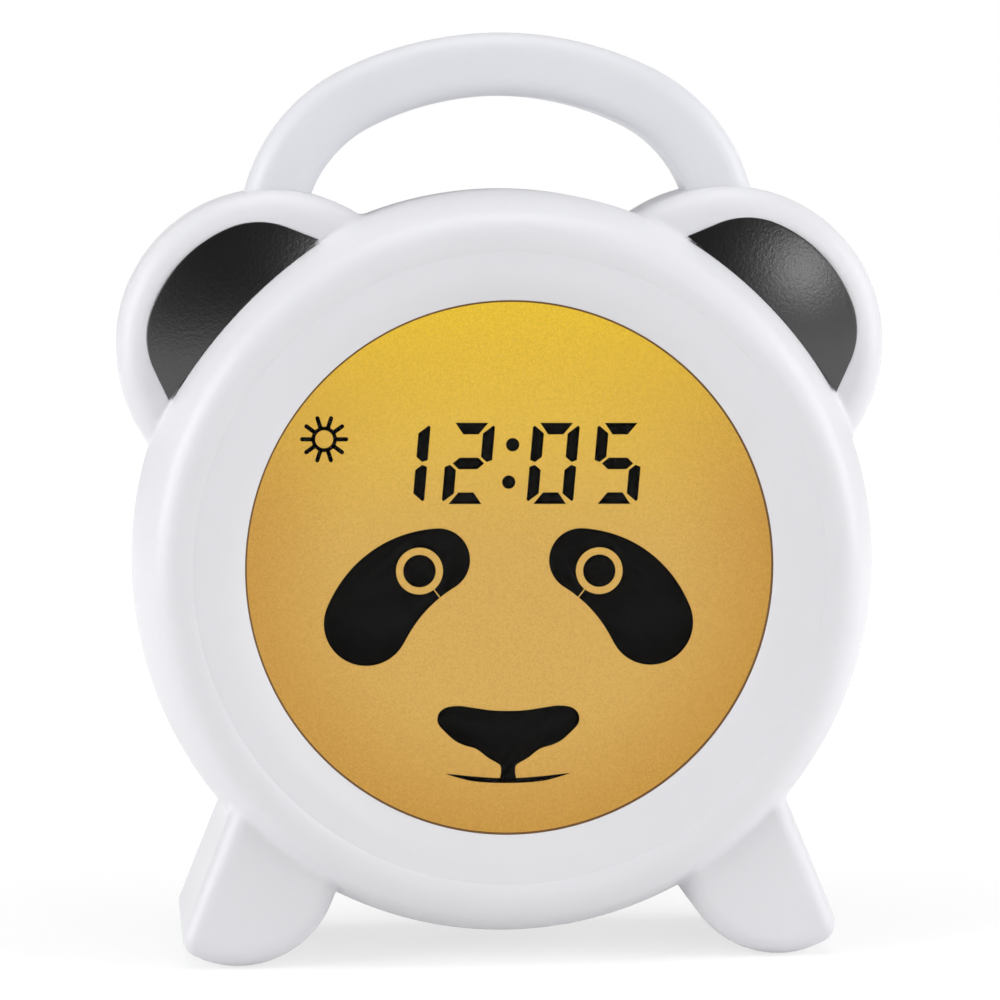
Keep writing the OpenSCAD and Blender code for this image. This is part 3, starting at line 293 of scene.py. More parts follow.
made["litAmber"] = litPanel()
made["lensClear"] = lensClear()
made["printInk"] = moulded("printInk", {"colour": display["ink"], "rough": (0.6, 0.7), "shade": 0.05,
                                        "gloss": 0.05})


def turned(outline):
    # figures turned a little about the display's middle, and moved as a whole
    a = math.radians(display["turn"])
    turn = np.array([[math.cos(a), math.sin(a)], [-math.sin(a), math.cos(a)]])
    return outline @ turn + np.array(display["shift"])


def printed(name, outlines):
    # thin flat layer: each outline becomes a front face, a back face and a wall between them
    points, faces = [], []
    for outline in outlines:
        outline = turned(np.array(outline, float))
        start, count = sum(len(p) for p in points), len(outline)
        for depth in ("inkFront", "inkBack"):
            points.append(depthPoints(outline[:, 0], outline[:, 1], display[depth]))
        block = [list(range(start, start + count)), list(range(start + 2 * count - 1, start + count - 1, -1))]
        ring = np.arange(count)
        block += np.stack([start + ring, start + count + ring, start + count + (ring + 1) % count,
                           start + (ring + 1) % count], axis=-1).tolist()
        area = np.sum(outline[:, 0] * np.roll(outline[:, 1], -1) - outline[:, 1] * np.roll(outline[:, 0], -1))
        faces += [f[::-1] for f in block] if area < 0 else block
    return meshPiece(name, np.concatenate(points), faces, made["printInk"])


digits = {"height": 16.7, "width": 9.65, "stroke": 2.38, "gap": 0.28, "slant": 4.6, "leanFrom": 4.72,
          "top": 30.0, "right": {"1": -16.75, "2": -3.5, "0": 13.95, "5": 27.25}, "dotRadius": 1.38,
          "dots": ((0.45, 25.5), (-0.3, 17.8))}


def segments():
    # seven strokes in an upright digit box, mitred where they meet
    w, h, s, g = (digits[k] for k in ("width", "height", "stroke", "gap"))
    m, half, k = h / 2, s / 2, 0.75
    top = [(k * s * 0.65 + g, h), (w - k * s * 0.65 - g, h), (w - s * 1.25 - g, h - s), (s * 1.25 + g, h - s)]
    side = [(0, h - 0.9), (0.35, h - 0.55), (s, h - s + 0.2), (s, m + half * 0.9 + g), (s * 0.45, m + g),
            (0, m + 0.7)]
    flip = lambda shape: [(w - x, y) for x, y in shape]
    drop = lambda shape: [(x, h - y) for x, y in shape]
    middle = [(s * 0.55 + g, m), (s * 1.1 + g, m + half), (w - s * 1.1 - g, m + half), (w - s * 0.55 - g, m),
              (w - s * 1.1 - g, m - half), (s * 1.1 + g, m - half)]
    return {"a": top, "d": drop(top), "f": side, "b": flip(side), "e": drop(side), "c": flip(drop(side)),
            "g": middle}


def slanted(shape, right):
    lean = math.tan(math.radians(digits["slant"]))
    pts = np.array(shape, float)
    base = digits["top"] - digits["height"]
    x = right - digits["width"] + pts[:, 0] + (pts[:, 1] - digits["height"] + digits["leanFrom"]) * lean
    return np.stack([x, base + pts[:, 1]], axis=-1)


lit = {"1": "bc", "2": "abged", "0": "abcdef", "5": "afgcd"}
shapes = segments()
strokes = [slanted(shapes[s], digits["right"][d]) for d in "1205" for s in lit[d]]
strokes += [arc(x, z, digits["dotRadius"], 0, 360, 40)[:-1] for x, z in digits["dots"]]
printed("time_digits", strokes)

sun = {"place": (-38.2, 26.6), "ringOut": 2.62, "ringIn": 1.83, "rays": 10, "rayFrom": 2.3, "rayTo": 4.95,
       "rayHalf": 0.44}


def annulus(centre, outer, inner, steps=72):
    # ring outline cut open at one angle, so that it is one loop of points
    return np.concatenate([arc(*centre, outer, 0, 360, steps), arc(*centre, inner, 360, 0, steps)])


def ray(angle):
    a = math.radians(angle)
    along, side = np.array([math.cos(a), math.sin(a)]), np.array([-math.sin(a), math.cos(a)])
    tip = arc(sun["rayTo"] - sun["rayHalf"], 0, sun["rayHalf"], -90, 90, 10)
    local = np.concatenate([[[sun["rayFrom"], -sun["rayHalf"]]], tip, [[sun["rayFrom"], sun["rayHalf"]]]])
    return np.array(sun["place"]) + local[:, :1] * along + local[:, 1:] * side


printed("sun_sign", [annulus(sun["place"], sun["ringOut"], sun["ringIn"])]
        + [ray(k * 360 / sun["rays"]) for k in range(sun["rays"])])

face = {"patchLow": (29.4, -11.3), "patchHigh": (14.7, 1.75), "patchBulge": 4.3, "patchRadii": (8.75, 6.55),
        "patchSwell": 0.75, "eye": (18.55, -0.5), "ring": 4.83, "pupil": 3.35, "slit": -52.0,
        "slitHalf": 0.11}


def bean():
    # envelope of a disc whose middle runs along a bent line while its radius shrinks
    low, high = np.array(face["patchLow"]), np.array(face["patchHigh"])
    chord = high - low
    normal = np.array([-chord[1], chord[0]]) / np.linalg.norm(chord)
    bend = (low + high) / 2 + normal * face["patchBulge"] * (-1 if normal[0] < 0 else 1)
    t = np.linspace(0, 1, 60)[:, None]
    spine = (1 - t) ** 2 * low + 2 * t * (1 - t) * bend + t ** 2 * high
    lowRadius, highRadius = face["patchRadii"]
    radius = (1 - t) * lowRadius + t * highRadius + face["patchSwell"] * 4 * t * (1 - t)
    step = np.gradient(spine, axis=0)
    length = np.linalg.norm(step, axis=1, keepdims=True)
    along = step / length
    side = np.stack([-along[:, 1], along[:, 0]], axis=-1)
    shrink = np.clip(np.gradient(radius[:, 0])[:, None] / length, -0.95, 0.95)
    left = spine + radius * (-shrink * along + np.sqrt(1 - shrink ** 2) * side)
    right = spine + radius * (-shrink * along - np.sqrt(1 - shrink ** 2) * side)

    def cap(centre, first, last):
        # arc from one side round the end to the other, turning clockwise
        a0 = math.atan2(*(first - centre)[::-1])
        a1 = math.atan2(*(last - centre)[::-1])
        a1 -= 2 * math.pi if a1 > a0 else 0
        a = np.linspace(a0, a1, 40)[1:-1, None]
        return centre + np.linalg.norm(first - centre) * np.concatenate([np.cos(a), np.sin(a)], axis=1)
    return np.concatenate([left, cap(spine[-1], left[-1], right[-1]), right[::-1],
                           cap(spine[0], right[0], left[0])])


def eyePatch():
    # the patch round the eye: rays from the eye's middle, from the lit ring out to the patch's edge
    eye = np.array(face["eye"])
    edge = bean() - eye
    angle, reach = np.arctan2(edge[:, 1], edge[:, 0]), np.hypot(edge[:, 0], edge[:, 1])
    order = np.argsort(angle)
    slit = math.radians(180 - face["slit"])
    inner = math.asin(face["slitHalf"] / face["ring"])
    outerReach = np.interp(slit, angle[order], reach[order], period=2 * math.pi)
    outer = math.asin(face["slitHalf"] / outerReach)
    share = np.linspace(0, 1, 220)
    aIn = slit + inner + share * (2 * math.pi - 2 * inner)
    aOut = slit + outer + share * (2 * math.pi - 2 * outer)
    far = np.interp(aOut, angle[order], reach[order], period=2 * math.pi)
    ring = np.stack([np.cos(aIn), np.sin(aIn)], axis=-1) * face["ring"]
    rim = np.stack([np.cos(aOut), np.sin(aOut)], axis=-1) * far[:, None]
    return np.concatenate([rim, ring[::-1]]) + eye


patch = eyePatch()
pupil = arc(*face["eye"], face["pupil"], 0, 360, 72)[:-1]
noseHalf = [(3.6, -29.35), (7.4, -28.8), (10.3, -28.42), (12.9, -28.75), (14.3, -29.8), (14.7, -31.2),
            (14.35, -32.4), (13.3, -33.6), (11.1, -35.6), (9.1, -36.6), (6.9, -37.25), (5.7, -38.0),
            (4.2, -39.2), (2.4, -40.25), (1.6, -40.9), (1.45, -42.2), (1.45, -43.7)]
mouthHalf = [(3.0, -43.4), (7.5, -43.05), (12.2, -42.55), (12.25, -42.75), (8.0, -43.95), (4.0, -44.4)]


def mirrored(half, top=None, bottom=None):
    # right half, bottom point, left half back to the top
    left = [(-x, z) for x, z in reversed(half)]
    return ([top] if top else []) + half + ([bottom] if bottom else []) + left


nose = smoothLoop(mirrored(noseHalf, top=(0, -29.5)), 6)
mouth = smoothLoop(mirrored(mouthHalf, top=(0, -43.45), bottom=(0, -44.5)), 6)
flipX = np.array([-1, 1])
printed("face_print", [patch, patch * flipX, pupil, pupil * flipX, nose, mouth])
print("display printed")


def disc(name, back, front, material, replaced, steps=240):
    # flat round plate with its two faces made of one polygon each
    rim = arc(0, 0, display["radius"], 0, 360, steps)[:-1]
    points = np.concatenate([depthPoints(rim[:, 0], rim[:, 1], depth) for depth in (front, back)])
    faces = gridFaces(2, steps, loopColumns=True).tolist()
    faces += [list(range(steps)), list(range(steps, 2 * steps))[::-1]]
    meshPiece(name, points, outward(points, faces), material, replaced=(replaced,), sharp=30)


disc("lens_disc", display["lensBack"], display["lensFront"], made["lensClear"], "display_lens")
disc("panel_disc", display["panelBack"], display["panelFront"], made["litAmber"], "lcd_panel")

bezel = {"inner": 54.5, "oval": 0.35, "outer": 65.25, "front": 28.18, "slopes": (17.5, 4.0, 6.0, 30.0),
         "turns": (0, 0.1, 0.42, 1), "groove": 0.32, "grooveWide": 0.9, "lip": 0.3, "undercut": 0.6,
         "back": 20.9, "seatFront": 25.7, "seatIn": 60.9}
# thin brown ring just under the bezel's lip: painted shadow, a dark band put where the gap round the display
# lies in shade
edgeShadowRing = {"out": 55.0, "in": 54.12, "front": 25.0, "back": 24.8}


def bezelProfile():
    # the front falls towards the lens: first as steeply as the rim outside it, soon less, then ever more
    share = np.linspace(0, 1, 60)
    end = bezel["inner"] + bezel["lip"] * (1 - math.sin(math.radians(bezel["slopes"][-1])))
    r = bezel["outer"] + (end - bezel["outer"]) * share
    fall = np.tan(np.radians(np.interp(share, bezel["turns"], bezel["slopes"])))
    step = (fall[1:] + fall[:-1]) / 2 * (r[:-1] - r[1:])
    front = bezel["front"] - np.concatenate([[0], np.cumsum(step)])
    lipUp = front[-1] - bezel["lip"] * math.cos(math.radians(bezel["slopes"][-1]))
    front -= bezel["groove"] * np.maximum(1 - (bezel["outer"] - r) / bezel["grooveWide"], 0) ** 2
    lip = arc(bezel["inner"] + bezel["lip"], lipUp, bezel["lip"], 90 + bezel["slopes"][-1], 180, 6)[1:]
    back = [(bezel["inner"] + bezel["undercut"], bezel["back"]), (bezel["seatIn"], bezel["back"]),
            (bezel["seatIn"], bezel["seatFront"]), (bezel["outer"], bezel["seatFront"])]
    return np.concatenate([back, np.stack([r, front], axis=-1), lip])


def ovalled(points):
    # the opening is a little taller than it is wide; the outer edge stays round
    across, up = points[..., 0] / mm, points[..., 2] / mm - bodyCentre
    r = np.hypot(across, up)
    weight = np.clip((bezel["outer"] - r) / (bezel["outer"] - bezel["inner"]), 0, 1)
    scale = 1 - bezel["oval"] * weight * (across ** 2 - up ** 2) / r ** 3
    return np.stack([across * scale * mm, points[..., 1], (up * scale + bodyCentre) * mm], axis=-1)


points, faces = revolved(bezelProfile(), 288)
meshPiece("bezel", ovalled(points), outward(points, faces), made["bezelWhite"],
          replaced=("bezel_ring",), sharp=35)
points, faces = revolved([(edgeShadowRing["in"], edgeShadowRing["back"]), (edgeShadowRing["out"], edgeShadowRing["back"]),
                          (edgeShadowRing["out"], edgeShadowRing["front"]), (edgeShadowRing["in"], edgeShadowRing["front"])], 240)
# its brown is painted shadow: the shade in the gap between the lip and the display, drawn as a coloured ring
made["edgeShadowBrown"] = moulded("edgeShadowBrown", {"colour": (112, 78, 38), "rough": (0.6, 0.7)})
meshPiece("display_edge_shadow", ovalled(points), outward(points, faces), made["edgeShadowBrown"])


handle = {"endX": 47.23, "haunchRadius": 32.3, "crownAngle": 26.2, "gap": 19.2, "wide": 13.0, "deep": 19.0,
          "corner": 4.2, "lugHeight": 2.0, "lugOut": 1.5, "lugStep": 0.05, "housing": 77.0}


def handlePath():
    # arch of a haunch, a crown and a haunch, as stations of (across, up, angle of the section)
    haunchX = handle["endX"] - handle["haunchRadius"]
    tilt = math.radians(handle["crownAngle"])
    crownRadius = handle["haunchRadius"] + haunchX / math.sin(tilt)
    crownUp = handle["housing"] + handle["gap"] + handle["wide"] / 2 - crownRadius
    haunchUp = crownUp + (crownRadius - handle["haunchRadius"]) * math.cos(tilt)
    right = np.linspace(0, math.pi / 2 - tilt, 60)
    crown = np.linspace(math.pi / 2 - tilt, math.pi / 2 + tilt, 80)[1:-1]
    left = math.pi - right[::-1]
    across = np.concatenate([haunchX + handle["haunchRadius"] * np.cos(right), crownRadius * np.cos(crown),
                             -haunchX + handle["haunchRadius"] * np.cos(left)])
    up = np.concatenate([haunchUp + handle["haunchRadius"] * np.sin(right),
                         crownUp + crownRadius * np.sin(crown),
                         haunchUp + handle["haunchRadius"] * np.sin(left)])
    return across, up, np.concatenate([right, crown, left]), haunchUp


def handleSection(grow=0.0, steps=10):
    # a rectangle with round corners, as (outward, forward)
    r = handle["corner"] + grow
    a, b = handle["wide"] / 2 - handle["corner"], handle["deep"] / 2 - handle["corner"]
    return np.concatenate([arc(a, b, r, 0, 90, steps), arc(-a, b, r, 90, 180, steps),
                           arc(-a, -b, r, 180, 270, steps), arc(a, -b, r, 270, 360, steps)])


def handleSurface():
    across, up, angle, haunchUp = handlePath()
    section = handleSection()
    lug = handleSection(handle["lugOut"])
    rings = []
    for s, a in ((1, 0.0), (-1, math.pi)):
        foot = []
        for drop, shape in ((handle["lugHeight"], lug), (handle["lugStep"], lug), (0, section)):
            foot.append((s * handle["endX"], haunchUp - drop, a, shape))
        rings.append(foot)
    arch = [(x, z, a, section) for x, z, a in zip(across[1:-1], up[1:-1], angle[1:-1])]
    grid = np.stack([depthPoints(x + q[:, 0] * math.cos(a), z + q[:, 0] * math.sin(a), q[:, 1])
                     for x, z, a, q in rings[0] + arch + rings[1][::-1]])
    rows, columns = grid.shape[:2]
    faces = gridFaces(rows, columns, loopColumns=True).tolist()
    faces += [list(range(columns))[::-1], list(range((rows - 1) * columns, rows * columns))]
    return grid, faces


points, faces = handleSurface()
meshPiece("handle", points, outward(points, faces), made["handleWhite"],
          replaced=("carry_handle",), sharp=35)
print("bezel and handle made")


ear = {"radius": 32.6, "reach": 64.8, "angle": 43.6, "half": 15.0, "round": 5.4}
foot = {"radius": 20.5, "across": 56.0, "out": 5.9, "corner": 3.5, "lean": 22.0, "half": 24.0, "round": 4.0,
        "low": 0.3, "top": -30.0}
rims = {"front": {"radius": 77.0, "half": 28.5, "crest": 67.2, "band": 9.4, "small": 6.5, "fall": 24.0},
        "rear": {"radius": 77.0, "half": 28.5, "crest": 62.0, "band": 2.5, "small": 10.0, "fall": 0.0}}
fillet = {"ear": 1.3, "foot": 1.3, "clearFrom": 15.5, "clearOver": 3.0}
# radii where the smooth skin starts, and the screw wells round the back
skinCut = {"deep": 58.0, "front": 63.6, "rear": 60.8, "flatRadius": 61.95, "flat": 28.46}
wells = {"ring": 67.0, "radius": 3.2, "band": 0.62, "angles": (8, 65, 115, 172, 240, 300)}
# the front solid's own rim, and how far a face may lie from it and still be an outer one
solidRim = {"crest": 65.4, "small": 8.0}
outerLimit = 0.45
hidden = 0.02  # how far under the skin a solid's point is put


def rimDistance(r, z, rim):
    # signed distance to the rim's profile: a band, a large arc, a small arc over the crest, then a slope
    a, b, s = rim["radius"] - rim["crest"], rim["half"] - rim["band"], rim["small"]
    large = (a * a + (b - s) ** 2 - s * s) / (2 * (a - s))
    cx, cz = rim["radius"] - large, rim["half"] - s
    turn = math.atan2(b - s, rim["crest"] - cx)
    end = math.radians(90 + rim["fall"])
    side = np.where(z < rim["band"], r - rim["radius"], np.hypot(r - cx, z - rim["band"]) - large)
    angle = np.arctan2(z - cz, r - rim["crest"])
    angle = np.where(angle < turn - 0.01, angle + 2 * math.pi, angle)
    over = np.where(angle < end, np.hypot(r - rim["crest"], z - cz) - s,
                    (r - rim["crest"]) * math.cos(end) + (z - cz) * math.sin(end) - s)
    return np.where(np.arctan2(z - rim["band"], r - cx) < turn, side, over)


def roundedPlate(flat, z, half, soft):
    # a flat outline, given by its distance, extruded both ways with a rounded edge
    a, b = flat + soft, np.abs(z) - half + soft
    return np.hypot(np.maximum(a, 0), np.maximum(b, 0)) + np.minimum(np.maximum(a, b), 0) - soft


def footOutline(x, z):
    # distance to a round bottom that runs up along the leaning outer edge, with a tighter outer corner
    lean = math.radians(foot["lean"])
    dx, dz = x - foot["across"], z - (foot["low"] + foot["radius"] - bodyCentre)
    u, w = dx * math.cos(lean) + dz * math.sin(lean), -dx * math.sin(lean) + dz * math.cos(lean)
    bottom = np.hypot(u, np.minimum(w, 0)) - foot["radius"] + foot["corner"]
    side = u - foot["out"] + foot["corner"]
    inside = np.minimum(np.maximum(bottom, side), 0)
    return np.hypot(np.maximum(bottom, 0), np.maximum(side, 0)) + inside - foot["corner"]


def softUnion(a, b, k):
    # the nearer of two distances, with a fillet of about k where they meet
    h = np.maximum(k - np.abs(a - b), 0) / np.maximum(k, 1e-6)
    return np.minimum(a, b) - h * h * k / 4


def shellDistance(points, rim, soft=True):
    x, y, z = np.abs(points[..., 0]), points[..., 1], points[..., 2]
    r = np.hypot(x, y)
    a = math.radians(ear["angle"])
    ring = rimDistance(r, z, rim)
    earFlat = np.hypot(x - ear["reach"] * math.cos(a), y - ear["reach"] * math.sin(a)) - ear["radius"]
    ears = roundedPlate(earFlat, z, ear["half"], ear["round"])
    feet = roundedPlate(np.maximum(footOutline(x, y), y - foot["top"]), z, foot["half"], foot["round"])
    if not soft:
        return np.minimum(np.minimum(ring, ears), feet)
    # no fillet where the dark insert meets the ring
    off = np.abs(np.degrees(np.arctan2(y, x)) - ear["angle"])
    clear = np.clip((off - fillet["clearFrom"]) / fillet["clearOver"], 0, 1) if rim["fall"] else 1.0
    return softUnion(softUnion(ring, ears, fillet["ear"] * clear * clear), feet, fillet["foot"])


def netted(field, low, high, step):
    # surface through the cells where the field changes sign: one point a cell, one quad a crossed grid edge
    axes = [np.arange(a, b, step) for a, b in zip(low, high)]
    grid = np.stack(np.meshgrid(*axes, indexing="ij"), axis=-1)
    value = field(grid)
    shape = np.array(value.shape) - 1
    total, count = np.zeros(tuple(shape) + (3,)), np.zeros(tuple(shape))
    edges = []
    for axis in range(3):
        first = [slice(None)] * 3
        second = [slice(None)] * 3
        first[axis], second[axis] = slice(0, -1), slice(1, None)
        v0, v1 = value[tuple(first)], value[tuple(second)]
        crossed = (v0 < 0) != (v1 < 0)
        cell = np.argwhere(crossed)
        v0, v1 = v0[crossed], v1[crossed]
        place = grid[tuple(first)][crossed]
        place[:, axis] += step * v0 / (v0 - v1)
        b, c = (axis + 1) % 3, (axis + 2) % 3
        ring = []
        for db, dc in ((0, 0), (-1, 0), (-1, -1), (0, -1)):
            near = cell.copy()
            near[:, b] += db
            near[:, c] += dc
            ring.append(near)
            ok = ((near >= 0) & (near < shape)).all(axis=1)
            np.add.at(total, tuple(near[ok].T), place[ok])
            np.add.at(count, tuple(near[ok].T), 1)
        ring = np.stack(ring, axis=1)
        ok = ((ring >= 0) & (ring < shape)).all(axis=(1, 2))
        ring, up = ring[ok], v0[ok] < 0
        ring[~up] = ring[~up][:, ::-1]
        edges.append(ring)
    used = count > 0
    number = np.full(used.shape, -1)
    number[used] = np.arange(used.sum())
    quads = np.concatenate(edges)
    faces = number[tuple(quads.reshape(-1, 3).T)].reshape(-1, 4)
    return total[used] / count[used][:, None], faces


def slope(field, points, step=0.02):
    # direction in which the field grows fastest
    grown = []
    for axis in range(3):
        shift = np.zeros(3)
        shift[axis] = step
        grown.append((field(points + shift) - field(points - shift)) / (2 * step))
    return np.stack(grown, axis=-1)


def keptPart(points, faces, wanted):
    # only the wanted faces, and the points they use
    faces = faces[wanted]
    used = np.unique(faces)
    number = np.full(len(points), -1)
    number[used] = np.arange(len(used))
    return used, number[faces]


def skin(rim, step):
    # outer surface of one housing half, in millimetres; z is zero at the joint line
    field = lambda p: shellDistance(p, rim)
    points, faces = netted(field, (-82.0, -84.0, -step / 2), (82.0, 80.0, 30.0), step)
    centre = points[faces].mean(axis=1)
    used, faces = keptPart(points, faces, np.hypot(centre[:, 0], centre[:, 1]) > skinCut["deep"])
    points = points[used]
    level = np.abs(points[:, 2]) < step / 2
    for turn in range(6):
        grade = slope(field, points)
        move = field(points)[:, None] * grade / np.maximum((grade ** 2).sum(axis=1, keepdims=True), 0.25)
        move[level, 2] = 0
        points = points - move
        points[level, 2] = 0
    return points, faces


def holed(points, faces, field, spots, radius, band):
    # round holes along z: near points move onto the hole's edge, and the faces inside it go
    away = np.stack([np.hypot(points[:, 0] - x, points[:, 1] - y) for x, y in spots])
    near = away.argmin(axis=0)
    off = points[:, :2] - spots[near]
    reach = np.hypot(*off.T)
    moved = (np.abs(reach - radius) < band) & (points[:, 2] > 15)
    scale = np.where(moved, radius / np.maximum(reach, 1e-6), 1.0)
    points = points.copy()
    points[:, :2] = spots[near] + off * scale[:, None]
    for turn in range(5):
        grade = slope(field, points[moved])[:, 2]
        points[moved, 2] -= field(points[moved]) / np.maximum(grade, 0.3)
    inside = (np.where(moved, radius, reach) < radius - 1e-3) & (points[:, 2] > 15)
    return points, faces[~inside[faces].any(axis=1)]


def solidFaces(name, flip):
    # a solid's own triangles in millimetres of the face frame, with the points that fall together made one
    mesh = nodes[name].data
    place, corners = np.empty(len(mesh.vertices) * 3), np.empty(len(mesh.loops), dtype=int)
    mesh.vertices.foreach_get("co", place)
    mesh.loops.foreach_get("vertex_index", corners)
    place = place.reshape(-1, 3)[corners] / mm
    place = np.stack([place[:, 0], place[:, 2] - bodyCentre, -flip * place[:, 1]], axis=-1)
    whole, number = np.unique(np.round(place, 3), axis=0, return_inverse=True)
    return whole, number.reshape(-1, 3)


def shellPieces(half, flip):
    # the smooth outer skin, and the solid's own faces inside it
    rim = rims[half]
    field = lambda p: shellDistance(p, rim)
    points, faces = skin(rim, 0.8)
    if half == "rear":
        turns = np.radians(wells["angles"])
        spots = wells["ring"] * np.stack([np.cos(turns), np.sin(turns)], axis=-1)
        points, faces = holed(points, faces, field, spots, wells["radius"], wells["band"])
    centre = points[faces].mean(axis=1)
    r = np.hypot(centre[:, 0], centre[:, 1])
    if half == "rear":
        low = np.hypot(points[:, 0], points[:, 1]) < skinCut["flatRadius"]
        points[low & (points[:, 2] > 20), 2] = skinCut["flat"]
    used, faces = keptPart(points, faces, r > skinCut[half])
    points = points[used]
    grade = slope(field, points)
    grade /= np.linalg.norm(grade, axis=1, keepdims=True)
    place = depthPoints(points[:, 0], points[:, 1], flip * points[:, 2])
    if flip < 0:
        faces = faces[:, ::-1]
    piece = meshPiece(half + "_skin", place, faces.tolist(), made["shellWhite"],
                      replaced=(half + "_shell",))
    normals = np.stack([grade[:, 0], -flip * grade[:, 2], grade[:, 1]], axis=-1)
    piece.data.normals_split_custom_set_from_vertices(normals.tolist())
    solid, corners = solidFaces(half + "_shell", flip)
    plain = dict(rim, **solidRim) if half == "front" else rim
    level = np.abs(shellDistance(solid, plain, soft=False)) < outerLimit
    radius = np.hypot(solid[:, 0], solid[:, 1])
    outer = level[corners].all(axis=1) & ~(solid[corners][..., 2] < 0.02).all(axis=1)
    if half == "rear":
        outer &= ~((radius[corners] < 62.1).all(axis=1) & (solid[corners][..., 2] > 28.4).all(axis=1))
    else:
        atSeam = (np.abs(radius[corners] - solidRim["crest"]) < 0.1).all(axis=1)
        outer |= atSeam & (solid[corners][..., 2].max(axis=1) > 26)
    # points that stand proud of the skin go just under it
    away, toward = field(solid), slope(field, solid)
    proud = away > hidden
    toward = toward[proud] / np.linalg.norm(toward[proud], axis=1, keepdims=True)
    solid[proud] -= toward * (away[proud, None] + hidden)
    used, corners = keptPart(solid, corners, ~outer)
    solid = solid[used]
    a, b, c = corners.T
    corners = corners[(a != b) & (b != c) & (a != c)]
    meshPiece(half + "_inside", depthPoints(solid[:, 0], solid[:, 1], flip * solid[:, 2]), corners.tolist(),
              made["shellWhite"], replaced=(half + "_shell",), sharp=30)
    print(half, "shell:", len(faces), "skin faces", len(corners), "inner faces")


shellPieces("front", 1)
shellPieces("rear", -1)

insert = {"middle": 62.1, "middleRadius": 29.2, "middleAngle": 23.0, "cornerRadius": 15.8,
          "cornerAngle": 45.5,
          "dome": 69.7, "edge": 15.2, "crown": 3.2, "round": 0.2, "seat": 13.05, "inside": 76.0, "tip": 1.2}


def insertOutline(count):
    # right ear, its axis laid along x: middle arc, corner arc and a straight run to the housing's edge
    spare = insert["middleRadius"] - insert["cornerRadius"]
    lean = math.radians(insert["middleAngle"])
    corner = np.array([insert["middle"] + spare * math.cos(lean), spare * math.sin(lean)])
    turn = insert["middleAngle"] + insert["cornerAngle"]
    bow = np.concatenate([arc(insert["middle"], 0, insert["middleRadius"], 0, insert["middleAngle"], 60),
                          arc(*corner, insert["cornerRadius"], insert["middleAngle"], turn, 60)[1:]])
    along = np.array([-math.sin(math.radians(turn)), math.cos(math.radians(turn))])
    run = np.linspace(0, 12, 121)[1:, None]
    half = np.concatenate([bow, bow[-1] + run * along])
    half = half[np.hypot(*half.T) >= insert["inside"] + insert["tip"]]
    length = np.concatenate([[0], np.cumsum(np.linalg.norm(np.diff(half, axis=0), axis=1))])
    even = np.linspace(0, length[-1], count)
    half = np.stack([np.interp(even, length, half[:, 0]), np.interp(even, length, half[:, 1])], axis=-1)
    return np.concatenate([half[:0:-1] * [1, -1], half])


def insertSurface(side):
    # a shallow dome: rows run from the housing's edge to the ear's, columns from tip to tip
    outer = insertOutline(71)
    tip = math.atan2(outer[-1, 1], outer[-1, 0])
    u = np.linspace(-tip, tip, len(outer))
    far = math.hypot(*outer[-1])
    inside = insert["inside"] + (far - insert["inside"]) * np.abs(u / tip) ** 4
    inner = inside[:, None] * np.stack([np.cos(u), np.sin(u)], axis=-1)
    width = np.linalg.norm(outer - inner, axis=1)
    spare = insert["middleRadius"] - insert["cornerRadius"]
    lean = math.radians(insert["middleAngle"])
    r = insert["cornerRadius"] + math.hypot(insert["middle"] + spare * math.cos(lean) - insert["dome"],
                                            spare * math.sin(lean))
    ball = (r ** 2 + insert["crown"] ** 2) / (2 * insert["crown"])
    soft = np.minimum(insert["round"], width * 0.3) / np.maximum(width, 1e-6)
    rows = [(share * (1 - soft), 0.0) for share in np.linspace(0, 1, 44)]
    for turn in np.radians(np.linspace(75, 0, 6)):
        rows.append((1 - (1 - np.cos(turn)) * soft, insert["round"] * (1 - math.sin(turn))))
    a = math.radians(ear["angle"])
    grid = []
    for v, drop in rows:
        flat = inner + (outer - inner) * np.asarray(v)[:, None]
        off = np.hypot(flat[:, 0] - insert["dome"], flat[:, 1])
        high = insert["edge"] + insert["crown"] - ball + np.sqrt(ball ** 2 - off ** 2) - drop
        x = flat[:, 0] * math.cos(a) - flat[:, 1] * math.sin(a)
        z = flat[:, 0] * math.sin(a) + flat[:, 1] * math.cos(a)
        grid.append(depthPoints(side * x, z, high))
    first, last = grid[0].copy(), grid[-1].copy()
    first[:, 1] = last[:, 1] = -insert["seat"] * mm
    grid = np.stack([first] + grid + [last])
    return grid, gridFaces(len(grid), len(outer), loopRows=True).tolist()


def mergedPiece(piece, distance=1e-6):
    # points that fall together at tips and poles become one
    work = bmesh.new()
    work.from_mesh(piece.data)
    bmesh.ops.remove_doubles(work, verts=work.verts, dist=distance)
    bmesh.ops.dissolve_degenerate(work, edges=work.edges, dist=distance)
    bmesh.ops.recalc_face_normals(work, faces=work.faces)
    work.to_mesh(piece.data)
    work.free()


for side, label in ((1, "right"), (-1, "left")):
    points, faces = insertSurface(side)
    piece = meshPiece("ear_pad_" + label, points, outward(points, faces), made["insertBlack"],
                      replaced=("ear_insert_" + label,), sharp=50)
    mergedPiece(piece)
print("ear inserts made")


